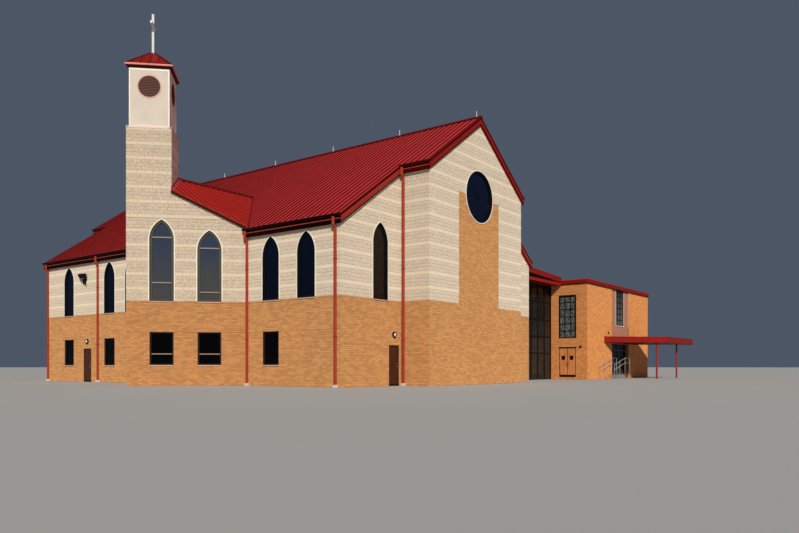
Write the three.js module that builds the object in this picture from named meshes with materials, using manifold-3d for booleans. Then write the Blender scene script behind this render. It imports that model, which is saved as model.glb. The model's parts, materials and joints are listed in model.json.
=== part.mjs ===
// A modern church of orange brick and cream split-face block under a red standing-seam metal roof:
// a nave with stepped ends, a prow-shaped side bay that carries a square tower with a belfry and a
// cross, and a lower glazed link to a brick annex with a canopy over its entrance.
//
// The model is 1:2. Every length is written as the real one in metres, times the model's metre.
// Units are millimetres, +Z is up, the origin is at ground level in the middle of the nave,
// +Y runs along the ridge and +X runs across the nave towards the annex.

import * as THREE from 'three';
import { mergeVertices } from 'three/addons/utils/BufferGeometryUtils.js';
import Module from 'manifold-3d';

const wasm = await Module();
wasm.setup();

// Scale and fits
const scale = 0.5;
const metre = 1000 * scale;
const gap = 0.3;
const cutMargin = 10;
const weldDistance = 0.001;

// Straight pieces in a full turn of each kind of round shape, and in one side of a pointed arch
const curveSteps = 8;
const roundWindowSteps = 24;
const louvreSteps = 16;
const knuckleSteps = 16;
const postSteps = 12;
const archSteps = 7;

// Nave plan
const wallThickness = 0.30 * metre;
const naveHalfWidth = 10.5 * metre;
const shoulderY = 14.8 * metre;
const gableHalfWidth = 5.4 * metre;
const gableY = 16.8 * metre;

// Roofs
const pitch = 0.695;
const ridgeHeight = 16.3 * metre;
const mainRoofDepth = 0.54 * metre;
const overhang = 0.12 * metre;
const gableOverhang = 0.08 * metre;
const boardThickness = 0.05 * metre;
const bayRidgeHeight = 12.1 * metre;
const bayRoofDepth = 0.30 * metre;
const ridgeCapHalfWidth = 0.22 * metre;
const ridgeCapRise = 0.05 * metre;

// Floors
const groundFloorTop = 0.10 * metre;
const upperFloorTop = 3.85 * metre;
const upperFloorDepth = 0.30 * metre;
const glassThickness = 0.03 * metre;

// Bay and tower. The bay's two walls stand at 45 degrees to the nave and meet at the tower.
const bayY = -2.96 * metre;
const bayHalfWidth = 4.60 * metre;
const towerWidth = 2.44 * metre;
const towerTop = 14.55 * metre;
const towerFloorBottom = 9.60 * metre;
const towerFloorTop = 9.90 * metre;
const belfryWidth = 2.20 * metre;
const belfryWall = 0.20 * metre;
const belfryTop = 17.85 * metre;
const louvreRadius = 0.56 * metre;
const louvreHeight = 16.83 * metre;
const towerRoofHalfWidth = 1.30 * metre;
const towerRoofFascia = 0.31 * metre;
const towerRoofTop = 19.25 * metre;
const crossTop = 21.4 * metre;
const crossThickness = 0.13 * metre;
const crossArmHeight = 20.75 * metre;
const crossArmLength = 1.10 * metre;

// Windows
const lancetSill = 4.76 * metre;
const sideLancetWidth = 1.25 * metre;
const sideLancetTop = 8.25 * metre;
const shoulderLancetX = 7.2 * metre;
const shoulderLancetWidth = 1.30 * metre;
const shoulderLancetTop = 8.97 * metre;
const lowerWindowWidth = 1.22 * metre;
const lowerWindowSill = 1.18 * metre;
const lowerWindowTop = 3.0 * metre;
const roundWindowRadius = 1.53 * metre;
const roundWindowHeight = 11.4 * metre;
const paneRecess = 0.12 * metre;
const glassBottom = 1.0 * metre;
const glassTop = 8.4 * metre;

// Window places along the walls
const frontLancetsY = [-12.4 * metre, -9.69 * metre];
const frontLowerWindowsY = [-9.69 * metre];
const rearLancetsY = [3.78 * metre, 6.33 * metre, 11.6 * metre];
const rearLowerWindowsY = [6.33 * metre, 11.6 * metre];
const rightWindowsY = [-1.3, 1.24, 3.78, 6.33, 8.97, 11.6].map((y) => y * metre);
const bayWindows = [
  { along: 1.91 * metre, top: 9.31 * metre },
  { along: 4.53 * metre, top: 8.76 * metre },
];
const bayWindowWidth = 1.27 * metre;

// Doors
const frameWidth = 0.05 * metre;
const frameSetBack = 0.02 * metre;
const frameDepth = 0.14 * metre;
const leafThickness = 0.045 * metre;
const leafClearance = 0.012 * metre;
const knuckleRadius = 0.012 * metre;
const knuckleLength = 0.16 * metre;
const knuckleShares = [0.12, 0.5, 0.88];
const strapReach = 0.048 * metre;
const frontDoor = { low: -6.43 * metre, high: -5.51 * metre, sill: groundFloorTop, top: 2.27 * metre };
const sideDoor = { low: 8.64 * metre, high: 9.64 * metre, sill: groundFloorTop, top: 2.35 * metre };

// Gutters and downspouts
const gutterDepth = 0.13 * metre;
const gutterHeight = 0.15 * metre;
const gutterDrop = 0.04 * metre;
const pipeDepth = 0.13 * metre;
const pipeWidth = 0.16 * metre;
const pipeFoot = 0.04 * metre;
const pipeElbowDrop = 0.24 * metre;
const cheekPipeY = -15.08 * metre;
const cheekPipeLead = -0.22 * metre;

// Link and annex
const linkFrontY = -12.5 * metre;
const linkRearY = -4.0 * metre;
const linkRoofFrontY = -13.5 * metre;
const linkRoofRearY = -3.6 * metre;
const linkSoffit = 7.93 * metre;
const linkBeamTop = 8.16 * metre;
const linkRoofStartX = 11.10 * metre;
const linkRoofTopLow = 8.64 * metre;
const linkRoofTopHigh = 9.04 * metre;
const annexLeftX = 19.1 * metre;
const annexRightX = 34.4 * metre;
const annexFrontY = -15.8 * metre;
const annexRearY = -3.0 * metre;
const annexFloorTop = 0.38 * metre;
const annexWallTop = 8.0 * metre;
const annexRoofTop = 8.37 * metre;
const annexOverhang = 0.10 * metre;
const annexDoor = { low: -14.79 * metre, high: -13.30 * metre, sill: annexFloorTop, top: 2.66 * metre };
const leadedWindow = { low: -14.83 * metre, high: -13.28 * metre, sill: 3.48 * metre, top: 7.11 * metre };
const leadedWallEndY = -13.10 * metre;
const panel = { low: 24.7 * metre, high: 28.9 * metre, bottom: 3.16 * metre };
const panelWindow = { low: 25.8 * metre, high: 27.8 * metre, sill: 4.8 * metre };
const passage = { low: -10.0 * metre, high: -7.2 * metre, top: 2.7 * metre };

// Canopy
const canopyBottom = 3.16 * metre;
const canopyTop = 3.70 * metre;
const canopyWallX = 22.8 * metre;
const canopyFrontY = -20.05 * metre;
const canopyEndX = 34.8 * metre;
const canopyPostRadius = 0.08 * metre;
const canopyPostY = -19.15 * metre;
const canopyPostsX = [26.6 * metre, 32.5 * metre];

// Values worked out from the sizes above
const half = towerWidth / 2;
const towerX = -(naveHalfWidth + bayHalfWidth) + towerWidth / Math.SQRT2;
const bayWallLength = bayHalfWidth * Math.SQRT2;
const mainEaveX = naveHalfWidth + overhang;
const cheekEaveX = gableHalfWidth + overhang;
const valleyX = (ridgeHeight - bayRidgeHeight) / pitch;

// Surface colours and finishes
function finish(colour, roughness, metalness = 0) {
  return new THREE.MeshStandardMaterial({ color: colour, roughness, metalness });
}
const materials = {
  masonry: finish(0xd8c6a5, 0.9),
  brick: finish(0xd99a5b, 0.85),
  stucco: finish(0xe6dbc8, 0.9),
  roofMetal: finish(0x9c1c16, 0.45, 0.3),
  trimMetal: finish(0x7e1c18, 0.4, 0.3),
  glass: finish(0x141c30, 0.1),
  leadedGlass: finish(0x4a5058, 0.3),
  brownDoor: finish(0x5a3220, 0.6),
  woodDoor: finish(0xb9743c, 0.5),
  darkFrame: finish(0x2a2420, 0.5, 0.2),
  panel: finish(0xa08078, 0.8),
  concrete: finish(0xb4b0a8, 0.9),
  whiteMetal: finish(0xe8e8e6, 0.4, 0.2),
};

// Outlines and solids

// A closed outline from pairs of numbers.
function outline(points) {
  return new THREE.Shape(points.map(([a, b]) => new THREE.Vector2(a, b)));
}

function rectangle(a0, b0, a1, b1) {
  return outline([[a0, b0], [a1, b0], [a1, b1], [a0, b1]]);
}

// A pointed window outline: upright sides and two arcs, each centred on the foot of the other.
function lancet(centre, width, sill, top) {
  const spring = top - width * Math.sqrt(3) / 2;
  const side = width / 2;
  const arc = Array.from({ length: archSteps + 1 }, (_, step) => {
    const angle = (Math.PI / 3) * (step / archSteps);
    return [width * Math.cos(angle) - side, spring + width * Math.sin(angle)];
  });
  const rising = arc.map(([across, up]) => [centre + across, up]);
  const falling = arc.slice(0, -1).reverse().map(([across, up]) => [centre - across, up]);
  return outline([[centre - side, sill], [centre + side, sill], ...rising, ...falling]);
}

function circle(centre, height, radius) {
  const shape = new THREE.Shape();
  shape.absarc(centre, height, radius, 0, Math.PI * 2, false);
  return shape;
}

function extrude(shape, depth, curveSegments) {
  return new THREE.ExtrudeGeometry(shape, { depth, bevelEnabled: false, curveSegments });
}

// An outline in X and Z, solid from yLow to yHigh, with holes cut right through.
function prismY(shape, yLow, yHigh, holes = [], curveSegments = curveSteps) {
  const turn = new THREE.Matrix4().makeBasis(
    new THREE.Vector3(1, 0, 0), new THREE.Vector3(0, 0, 1), new THREE.Vector3(0, -1, 0));
  const geometry = extrude(shape, yHigh - yLow, curveSegments).applyMatrix4(turn).translate(0, yHigh, 0);
  const tools = holes.map((hole) => prismY(hole, yLow - cutMargin, yHigh + cutMargin, [], curveSegments));
  return tools.length ? cut(geometry, ...tools) : geometry;
}

// An outline in Y and Z, solid from xLow to xHigh, with holes cut right through.
function prismX(shape, xLow, xHigh, holes = [], curveSegments = curveSteps) {
  const turn = new THREE.Matrix4().makeBasis(
    new THREE.Vector3(0, 1, 0), new THREE.Vector3(0, 0, 1), new THREE.Vector3(1, 0, 0));
  const geometry = extrude(shape, xHigh - xLow, curveSegments).applyMatrix4(turn).translate(xLow, 0, 0);
  const tools = holes.map((hole) => prismX(hole, xLow - cutMargin, xHigh + cutMargin, [], curveSegments));
  return tools.length ? cut(geometry, ...tools) : geometry;
}

// An outline in X and Y, solid from zLow to zHigh.
function prismZ(shape, zLow, zHigh) {
  return extrude(shape, zHigh - zLow, curveSteps).translate(0, 0, zLow);
}

function box(xLow, xHigh, yLow, yHigh, zLow, zHigh) {
  return prismZ(rectangle(xLow, yLow, xHigh, yHigh), zLow, zHigh);
}

function toSolid(geometry) {
  const plain = geometry.clone();
  plain.deleteAttribute('normal');
  plain.deleteAttribute('uv');
  const merged = mergeVertices(plain, weldDistance);
  return new wasm.Manifold(new wasm.Mesh({
    numProp: 3,
    vertProperties: new Float32Array(merged.attributes.position.array),
    triVerts: new Uint32Array(merged.index.array),
  }));
}

function toGeometry(solid) {
  const mesh = solid.getMesh();
  const geometry = new THREE.BufferGeometry();
  geometry.setAttribute('position', new THREE.BufferAttribute(mesh.vertProperties, 3));
  geometry.setIndex(new THREE.BufferAttribute(mesh.triVerts, 1));
  geometry.computeVertexNormals();
  return geometry;
}

function join(...geometries) {
  return toGeometry(geometries.map(toSolid).reduce((whole, next) => whole.add(next)));
}

function cut(geometry, ...tools) {
  return toGeometry(tools.map(toSolid).reduce((whole, tool) => whole.subtract(tool), toSolid(geometry)));
}

function common(geometry, other) {
  return toGeometry(toSolid(geometry).intersect(toSolid(other)));
}

const church = new THREE.Group();

// The tower's own frame: origin on its axis, x along the bay's front wall, y along its rear wall.
const tower = new THREE.Group();
tower.position.set(towerX, bayY, 0);
tower.rotation.z = -Math.PI / 4;
church.add(tower);

function add(name, geometry, material, parent = church) {
  const mesh = new THREE.Mesh(geometry, material);
  mesh.name = name;
  parent.add(mesh);
  return mesh;
}

// Height of the main roof's top and underside at a distance from the ridge
function roofTop(x) {
  return ridgeHeight - pitch * Math.abs(x);
}

function roofUnderside(x) {
  return roofTop(x) - mainRoofDepth;
}

// Windows of the side walls
function sideLancets(places) {
  return places.map((y) => lancet(y, sideLancetWidth, lancetSill, sideLancetTop));
}

function lowerWindows(places) {
  return places.map((y) => {
    const side = lowerWindowWidth / 2;
    return rectangle(y - side, lowerWindowSill, y + side, lowerWindowTop);
  });
}

// Floors
function floorOutline(inset) {
  const side = naveHalfWidth - wallThickness - gap - inset;
  const end = shoulderY - wallThickness - gap;
  const cheek = gableHalfWidth - wallThickness - gap;
  const gable = gableY - wallThickness - gap;
  const mouth = bayHalfWidth - (wallThickness + gap + inset) * (Math.SQRT2 - 1);
  const tip = side + mouth;
  return outline([
    [-cheek, -gable], [cheek, -gable], [cheek, -end], [side, -end],
    [side, end], [cheek, end], [cheek, gable], [-cheek, gable],
    [-cheek, end], [-side, end], [-side, bayY + mouth], [-tip, bayY],
    [-side, bayY - mouth], [-side, -end], [-cheek, -end],
  ]);
}

add('ground_floor', prismZ(floorOutline(0), 0, groundFloorTop), materials.concrete);
add('upper_floor', prismZ(floorOutline(glassThickness + gap), upperFloorTop - upperFloorDepth, upperFloorTop),
  materials.concrete);

// End walls: the gable, its two returns and the shoulders are one mass of masonry
function gableWall(yOuter, yInner, yReturn) {
  const width = gableHalfWidth;
  const eaves = roofUnderside(width) - gap;
  const face = outline([[-width, 0], [width, 0], [width, eaves], [0, roofUnderside(0) - gap], [-width, eaves]]);
  const hole = circle(0, roundWindowHeight, roundWindowRadius);
  const front = prismY(face, Math.min(yOuter, yInner), Math.max(yOuter, yInner), [hole],
    roundWindowSteps);
  const low = Math.min(yOuter, yReturn);
  const high = Math.max(yOuter, yReturn);
  const left = box(-width, -width + wallThickness, low, high, 0, eaves);
  const right = box(width - wallThickness, width, low, high, 0, eaves);
  return join(front, left, right);
}

function roundPane(yLow) {
  const disc = circle(0, roundWindowHeight, roundWindowRadius - gap);
  return prismY(disc, yLow, yLow + glassThickness, [], roundWindowSteps);
}

add('front_round_window', roundPane(-gableY + paneRecess), materials.glass);
add('rear_round_window', roundPane(gableY - paneRecess - glassThickness), materials.glass);

// Shoulder walls beside the gables, each under its own slope of the roof
function shoulderFace(xLow, xHigh, bottom = 0) {
  const topLow = roofUnderside(xLow) - gap;
  const topHigh = roofUnderside(xHigh) - gap;
  return outline([[xLow, bottom], [xHigh, bottom], [xHigh, topHigh], [xLow, topLow]]);
}

function shoulderLancet(centre, shrink = 0) {
  const width = shoulderLancetWidth - 2 * shrink;
  return lancet(centre, width, lancetSill + shrink, shoulderLancetTop - 2 * shrink);
}

// A shoulder wall with its window, from xLow to xHigh
function shoulderWall(xLow, xHigh, yLow) {
  const hole = shoulderLancet(Math.sign(xLow + xHigh) * shoulderLancetX);
  return prismY(shoulderFace(xLow, xHigh), yLow, yLow + wallThickness, [hole]);
}

function shoulderPane(name, centre, yLow) {
  add(name, prismY(shoulderLancet(centre, gap), yLow, yLow + glassThickness), materials.glass);
}

const frontShoulder = -shoulderY;
const rearShoulder = shoulderY - wallThickness;
const rearPane = shoulderY - paneRecess - glassThickness;
const bond = gableHalfWidth - wallThickness / 2;
const doorNib = box(frontDoor.high + gap, -bond, frontShoulder, frontShoulder + wallThickness, 0, frontDoor.top);
add('front_wall', join(
  gableWall(-gableY, -gableY + wallThickness, frontShoulder + wallThickness),
  shoulderWall(bond, naveHalfWidth, frontShoulder),
  doorNib,
), materials.masonry);
add('rear_wall', join(
  gableWall(gableY, gableY - wallThickness, rearShoulder),
  shoulderWall(bond, naveHalfWidth, rearShoulder),
  shoulderWall(-naveHalfWidth, -bond, rearShoulder),
), materials.masonry);
add('front_left_shoulder_wall', shoulderWall(-naveHalfWidth, frontDoor.low - gap, frontShoulder),
  materials.masonry);
shoulderPane('front_left_shoulder_window', -shoulderLancetX, frontShoulder + paneRecess);
shoulderPane('front_right_shoulder_window', shoulderLancetX, frontShoulder + paneRecess);
shoulderPane('rear_left_shoulder_window', -shoulderLancetX, rearPane);
shoulderPane('rear_right_shoulder_window', shoulderLancetX, rearPane);
add('front_left_over_door_wall',
  prismY(shoulderFace(frontDoor.low, -gableHalfWidth - gap, frontDoor.top + gap), frontShoulder,
    frontShoulder + wallThickness),
  materials.masonry);

// Side walls
const sideTop = roofUnderside(naveHalfWidth) - gap;
const sideEndY = shoulderY - wallThickness - gap;
const bayMouth = bayHalfWidth - wallThickness * (Math.SQRT2 - 1);

function sideWall(name, xLow, yLow, yHigh, holes) {
  add(name, prismX(rectangle(yLow, 0, yHigh, sideTop), xLow, xLow + wallThickness, holes), materials.masonry);
}

function within(places, yLow, yHigh) {
  return places.filter((y) => y > yLow && y < yHigh);
}

sideWall('left_front_side_wall', -naveHalfWidth, -sideEndY, bayY - bayMouth - gap,
  [...sideLancets(frontLancetsY), ...lowerWindows(frontLowerWindowsY)]);
const middleWindows = [bayY + bayMouth + gap, sideDoor.low - gap];
sideWall('left_middle_side_wall', -naveHalfWidth, ...middleWindows,
  [...sideLancets(within(rearLancetsY, ...middleWindows)),
    ...lowerWindows(within(rearLowerWindowsY, ...middleWindows))]);
const endWindows = [sideDoor.high + gap, sideEndY];
sideWall('left_end_side_wall', -naveHalfWidth, ...endWindows,
  [...sideLancets(within(rearLancetsY, ...endWindows)),
    ...lowerWindows(within(rearLowerWindowsY, ...endWindows))]);
add('left_over_door_wall',
  prismX(rectangle(sideDoor.low, sideDoor.top + gap, sideDoor.high, sideTop), -naveHalfWidth,
    -naveHalfWidth + wallThickness),
  materials.masonry);

// The right side wall, split beside the passage to the link; its front part also runs over the passage
add('right_front_side_wall',
  prismX(outline([
    [-sideEndY, 0], [passage.low, 0], [passage.low, passage.top], [passage.high, passage.top],
    [passage.high, sideTop], [-sideEndY, sideTop],
  ]), naveHalfWidth - wallThickness, naveHalfWidth),
  materials.masonry);
sideWall('right_rear_side_wall', naveHalfWidth - wallThickness, passage.high + gap, sideEndY,
  [...sideLancets(rightWindowsY), ...lowerWindows(rightWindowsY)]);

// Sheets of glass behind the side walls, one a wall
const innerFace = naveHalfWidth - wallThickness - gap;
const sheetMargin = 0.2 * metre;

function sheetAround(places) {
  const reach = sideLancetWidth / 2 + sheetMargin;
  return [Math.min(...places) - reach, Math.max(...places) + reach];
}

const [frontSheetLow, frontSheetHigh] = sheetAround(frontLancetsY);
add('left_front_glass',
  prismX(rectangle(frontSheetLow, glassBottom, frontSheetHigh, glassTop), -innerFace,
    -innerFace + glassThickness),
  materials.glass);
const [rearSheetLow, rearSheetHigh] = sheetAround(rearLancetsY);
const doorHeadroom = sideDoor.top + sheetMargin;
add('left_rear_glass',
  prismX(outline([
    [rearSheetLow, glassBottom], [sideDoor.low - sheetMargin, glassBottom],
    [sideDoor.low - sheetMargin, doorHeadroom], [sideDoor.high + sheetMargin, doorHeadroom],
    [sideDoor.high + sheetMargin, glassBottom], [rearSheetHigh, glassBottom],
    [rearSheetHigh, glassTop], [rearSheetLow, glassTop],
  ]), -innerFace, -innerFace + glassThickness),
  materials.glass);
const [rightSheetLow, rightSheetHigh] = sheetAround(rightWindowsY);
add('right_side_glass',
  prismX(rectangle(rightSheetLow, glassBottom, rightSheetHigh, glassTop), innerFace - glassThickness, innerFace),
  materials.glass);

// Bay walls, in the tower's frame. Their tops follow the bay's roof down from the tower.
const valleyStep = (valleyX + bayHalfWidth - naveHalfWidth) / 2;
const valleyAlong = bayWallLength - valleyStep * Math.SQRT2 - half;
const bayRoofAtTower = bayRidgeHeight - bayRoofDepth - pitch * towerWidth / Math.SQRT2 - gap;
const bayRoofAtValley = bayRidgeHeight - bayRoofDepth - pitch * (bayHalfWidth - valleyStep) - gap;
const mainRoofAtValley = roofUnderside(naveHalfWidth + valleyStep) - gap;
const mitre = wallThickness * (Math.SQRT2 - 1);

function bayFace(start) {
  const end = bayWallLength - half + mitre;
  return outline([
    [start, 0], [end, 0], [end, mainRoofAtValley], [valleyAlong - gap, mainRoofAtValley],
    [valleyAlong - gap, bayRoofAtValley], [half, bayRoofAtTower], [half, towerTop], [start, towerTop],
  ]);
}

function bayHoles() {
  return bayWindows.flatMap(({ along, top }) => {
    const centre = along - half;
    const side = bayWindowWidth / 2;
    return [
      lancet(centre, bayWindowWidth, lancetSill, top),
      rectangle(centre - side, lowerWindowSill, centre + side, lowerWindowTop),
    ];
  });
}

// A block in the nave's frame, moved into the tower's frame.
function inTowerFrame(geometry) {
  return geometry.translate(-towerX, -bayY, 0).rotateZ(Math.PI / 4);
}

function sideWallBlock(yLow, yHigh) {
  return inTowerFrame(box(-naveHalfWidth - gap, -naveHalfWidth + wallThickness + gap, yLow, yHigh,
    -metre, towerTop));
}

const frontBlock = sideWallBlock(-shoulderY, bayY - bayMouth);
const rearBlock = sideWallBlock(bayY + bayMouth, shoulderY);
add('bay_front_wall', cut(prismY(bayFace(-half), -half, -half + wallThickness, bayHoles()), frontBlock),
  materials.masonry, tower);
add('bay_rear_wall',
  cut(prismX(bayFace(-half + wallThickness + gap), -half, -half + wallThickness, bayHoles()), rearBlock),
  materials.masonry, tower);

const baySheet = {
  low: bayWindows[0].along - half - bayWindowWidth / 2 - sheetMargin,
  high: bayWindows[1].along - half + bayWindowWidth / 2 + sheetMargin,
};
const bayInner = -half + wallThickness + gap;
const baySheetStep = bayWindows[1].along - half - bayWindowWidth / 2 - sheetMargin;
const baySheetShape = outline([
  [baySheet.low, glassBottom], [baySheet.high, glassBottom],
  [baySheet.high, bayWindows[1].top + gap], [baySheetStep, bayWindows[0].top + sheetMargin],
  [baySheet.low, bayWindows[0].top + sheetMargin],
]);
add('bay_front_glass', prismY(baySheetShape, bayInner, bayInner + glassThickness), materials.glass, tower);
add('bay_rear_glass', prismX(baySheetShape, bayInner, bayInner + glassThickness), materials.glass, tower);

// The tower's two inner walls above the bay's roof, on the floor that carries them
const shaftInner = half - wallThickness;
add('tower_inner_wall', join(
  box(shaftInner, half, bayInner, half, towerFloorBottom, towerTop),
  box(bayInner, half, shaftInner, half, towerFloorBottom, towerTop),
  box(bayInner, half, bayInner, half, towerFloorBottom, towerFloorTop),
), materials.masonry, tower);

// Belfry: a square shaft with a round opening in each face
const belfryHalf = belfryWidth / 2;
const belfryInner = belfryHalf - belfryWall;
const belfryBottom = towerTop + gap;
const louvreHole = circle(0, louvreHeight, louvreRadius);
add('belfry', cut(
  box(-belfryHalf, belfryHalf, -belfryHalf, belfryHalf, belfryBottom, belfryTop),
  box(-belfryInner, belfryInner, -belfryInner, belfryInner, belfryBottom - metre, belfryTop + metre),
  prismY(louvreHole, -half, half, [], louvreSteps),
  prismX(louvreHole, -half, half, [], louvreSteps),
), materials.stucco, tower);

// Louvres: an upright disc of sloping slats in each opening, all four on one crossed carrier
function louvreDisc() {
  const disc = circle(0, louvreHeight, louvreRadius - gap);
  return prismY(disc, -belfryHalf + paneRecess, -belfryInner, [], louvreSteps);
}

const carrierHalf = 0.04 * metre;
const louvreDiscs = [0, 1, 2, 3].map((turn) => louvreDisc().rotateZ(turn * Math.PI / 2));
add('belfry_louvres', join(
  ...louvreDiscs,
  box(-belfryInner - gap, belfryInner + gap, -carrierHalf, carrierHalf,
    louvreHeight - carrierHalf, louvreHeight + carrierHalf),
  box(-carrierHalf, carrierHalf, -belfryInner - gap, belfryInner + gap,
    louvreHeight - carrierHalf, louvreHeight + carrierHalf),
), materials.trimMetal, tower);

// Tower roof and cross
function pyramidRoof() {
  const edge = towerRoofHalfWidth;
  const bottom = belfryTop + gap;
  const eaves = bottom + towerRoofFascia;
  const slab = box(-edge, edge, -edge, edge, bottom, eaves);
  const cone = new THREE.ConeGeometry(edge * Math.SQRT2, towerRoofTop - eaves, 4, 1);
  cone.rotateX(Math.PI / 2).rotateZ(Math.PI / 4).translate(0, 0, (towerRoofTop + eaves) / 2);
  const flatTop = box(-edge, edge, -edge, edge, towerRoofTop - crossThickness, towerRoofTop + metre);
  return cut(join(slab, cone), flatTop);
}

add('tower_roof', pyramidRoof(), materials.roofMetal, tower);
const crossFoot = towerRoofTop - crossThickness + gap;
const crossHalf = crossThickness / 2;
add('tower_cross', join(
  box(-crossHalf, crossHalf, -crossHalf, crossHalf, crossFoot, crossTop),
  box(-crossHalf, crossHalf, -crossArmLength / 2, crossArmLength / 2,
    crossArmHeight - crossHalf, crossArmHeight + crossHalf),
), materials.whiteMetal, tower);

// Main roof: one slope each side of the ridge, the left one open where the bay's roof meets it
function roofSlope(side) {
  const sign = Math.sign(side);
  const strip = (reach, yReach) => prismY(outline([
    [sign * gap, roofUnderside(gap)], [sign * reach, roofUnderside(reach)],
    [sign * reach, roofTop(reach)], [sign * gap, roofTop(gap)],
  ]), -yReach, yReach);
  return join(strip(mainEaveX, shoulderY + overhang), strip(cheekEaveX, gableY + gableOverhang));
}

const bayNotch = prismZ(outline([
  [-valleyX, bayY], [-valleyX - 2 * bayHalfWidth, bayY - 2 * bayHalfWidth],
  [-valleyX - 2 * bayHalfWidth, bayY + 2 * bayHalfWidth],
]), 0, ridgeHeight);
add('main_roof_left', cut(roofSlope(-1), bayNotch), materials.roofMetal);
add('main_roof_right', roofSlope(1), materials.roofMetal);

const capY = gableY + gableOverhang + boardThickness;
const capDrop = pitch * ridgeCapHalfWidth;
const capBottom = ridgeHeight + gap;
add('ridge_cap', prismY(outline([
  [-ridgeCapHalfWidth, capBottom - capDrop], [0, capBottom], [ridgeCapHalfWidth, capBottom - capDrop],
  [ridgeCapHalfWidth, capBottom - capDrop + ridgeCapRise], [0, capBottom + ridgeCapRise],
  [-ridgeCapHalfWidth, capBottom - capDrop + ridgeCapRise],
]), -capY, capY), materials.roofMetal);

// Bay roof: a gable roof that runs from the tower into the main roof along two valleys
function bayRoof() {
  const reach = bayHalfWidth + metre;
  const drop = pitch * reach;
  const chevron = prismX(outline([
    [bayY - reach, bayRidgeHeight - bayRoofDepth - drop], [bayY, bayRidgeHeight - bayRoofDepth],
    [bayY + reach, bayRidgeHeight - bayRoofDepth - drop], [bayY + reach, bayRidgeHeight - drop],
    [bayY, bayRidgeHeight], [bayY - reach, bayRidgeHeight - drop],
  ]), -naveHalfWidth - 2 * bayHalfWidth, 0);
  const tip = -valleyX - Math.SQRT2 * gap;
  const towerCorner = towerX + towerWidth / Math.SQRT2 + Math.SQRT2 * gap;
  const eaveSum = -naveHalfWidth - bayHalfWidth - Math.SQRT2 * overhang;
  const outerX = (eaveSum + towerCorner) / 2;
  const outerY = (eaveSum - towerCorner) / 2;
  const innerX = (eaveSum + tip) / 2;
  const innerY = (eaveSum - tip) / 2;
  const plan = prismZ(outline([
    [tip, bayY], [towerCorner, bayY], [outerX, bayY + outerY], [innerX, bayY + innerY],
  ]), 0, ridgeHeight);
  const mirrored = prismZ(outline([
    [tip, bayY], [innerX, bayY - innerY], [outerX, bayY - outerY], [towerCorner, bayY],
  ]), 0, ridgeHeight);
  return common(chevron, join(plan, mirrored));
}

add('bay_roof', bayRoof(), materials.roofMetal);

// Eaves: a fascia board with a gutter on it. Distances run outwards from the wall's face.
const boardOuter = overhang + gap + boardThickness;
const boardInner = overhang + gap;
const gableBoardInner = gableOverhang + gap;
const gableBoardOuter = gableBoardInner + boardThickness;

// Corners of the fascia and gutter's section, as distance from the wall and height
function eaveSection(top, bottom) {
  const gutterTop = top - gutterDrop;
  return [
    [boardInner, bottom], [boardOuter, bottom], [boardOuter, gutterTop - gutterHeight],
    [boardOuter + gutterDepth, gutterTop - gutterHeight], [boardOuter + gutterDepth, gutterTop],
    [boardOuter, gutterTop], [boardOuter, top], [boardInner, top],
  ];
}

// A downspout's side view: up the wall, out under the eave and up into the gutter
function pipeSection(top, bottom) {
  const outer = boardOuter + gutterDepth - gap;
  const inner = outer - pipeDepth;
  const elbow = bottom - pipeElbowDrop;
  const neck = bottom - gap;
  return [
    [gap, pipeFoot], [gap + pipeDepth, pipeFoot], [gap + pipeDepth, elbow], [outer, neck - pipeDepth / 2],
    [outer, top - gutterDrop - gutterHeight / 2], [inner, top - gutterDrop - gutterHeight / 2],
    [inner, neck], [gap, elbow + pipeDepth / 2],
  ];
}

// A downspout at y whose upper end leans along the eave by lead to reach the gutter
function downspout(section, wallX, y, lead) {
  const pipe = prismY(section, y - pipeWidth / 2, y + pipeWidth / 2);
  const place = pipe.attributes.position;
  for (let i = 0; i < place.count; i += 1) {
    const offWall = Math.abs(place.getX(i)) - wallX > pipeDepth + 2 * gap;
    place.setY(i, place.getY(i) + (offWall ? lead : 0));
  }
  return pipe;
}

// An eave along Y on the side given by sign, with downspouts at the places given
function eave(sign, wallX, yLow, yHigh, pipes, lead = 0) {
  const top = roofTop(wallX + overhang);
  const bottom = roofUnderside(wallX + overhang);
  const place = ([distance, height]) => [sign * (wallX + distance), height];
  const gutter = prismY(outline(eaveSection(top, bottom).map(place)), yLow, yHigh);
  const section = outline(pipeSection(top, bottom).map(place));
  return join(gutter, ...pipes.map((y) => downspout(section, wallX, y, lead)));
}

const rakeY = shoulderY + boardOuter;
const bayEave = bayHalfWidth + overhang * (Math.SQRT2 - 1) + 2 * gap;
add('left_front_gutter', eave(-1, naveHalfWidth, -rakeY, bayY - bayEave - gap, [-14.53 * metre, -7.80 * metre]),
  materials.trimMetal);
add('left_rear_gutter', eave(-1, naveHalfWidth, bayY + bayEave + gap, rakeY, [7.7 * metre, 14.55 * metre]),
  materials.trimMetal);
add('right_gutter', eave(1, naveHalfWidth, -rakeY, rakeY, [-14.53 * metre, 1.9 * metre, 14.55 * metre]),
  materials.trimMetal);

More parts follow.
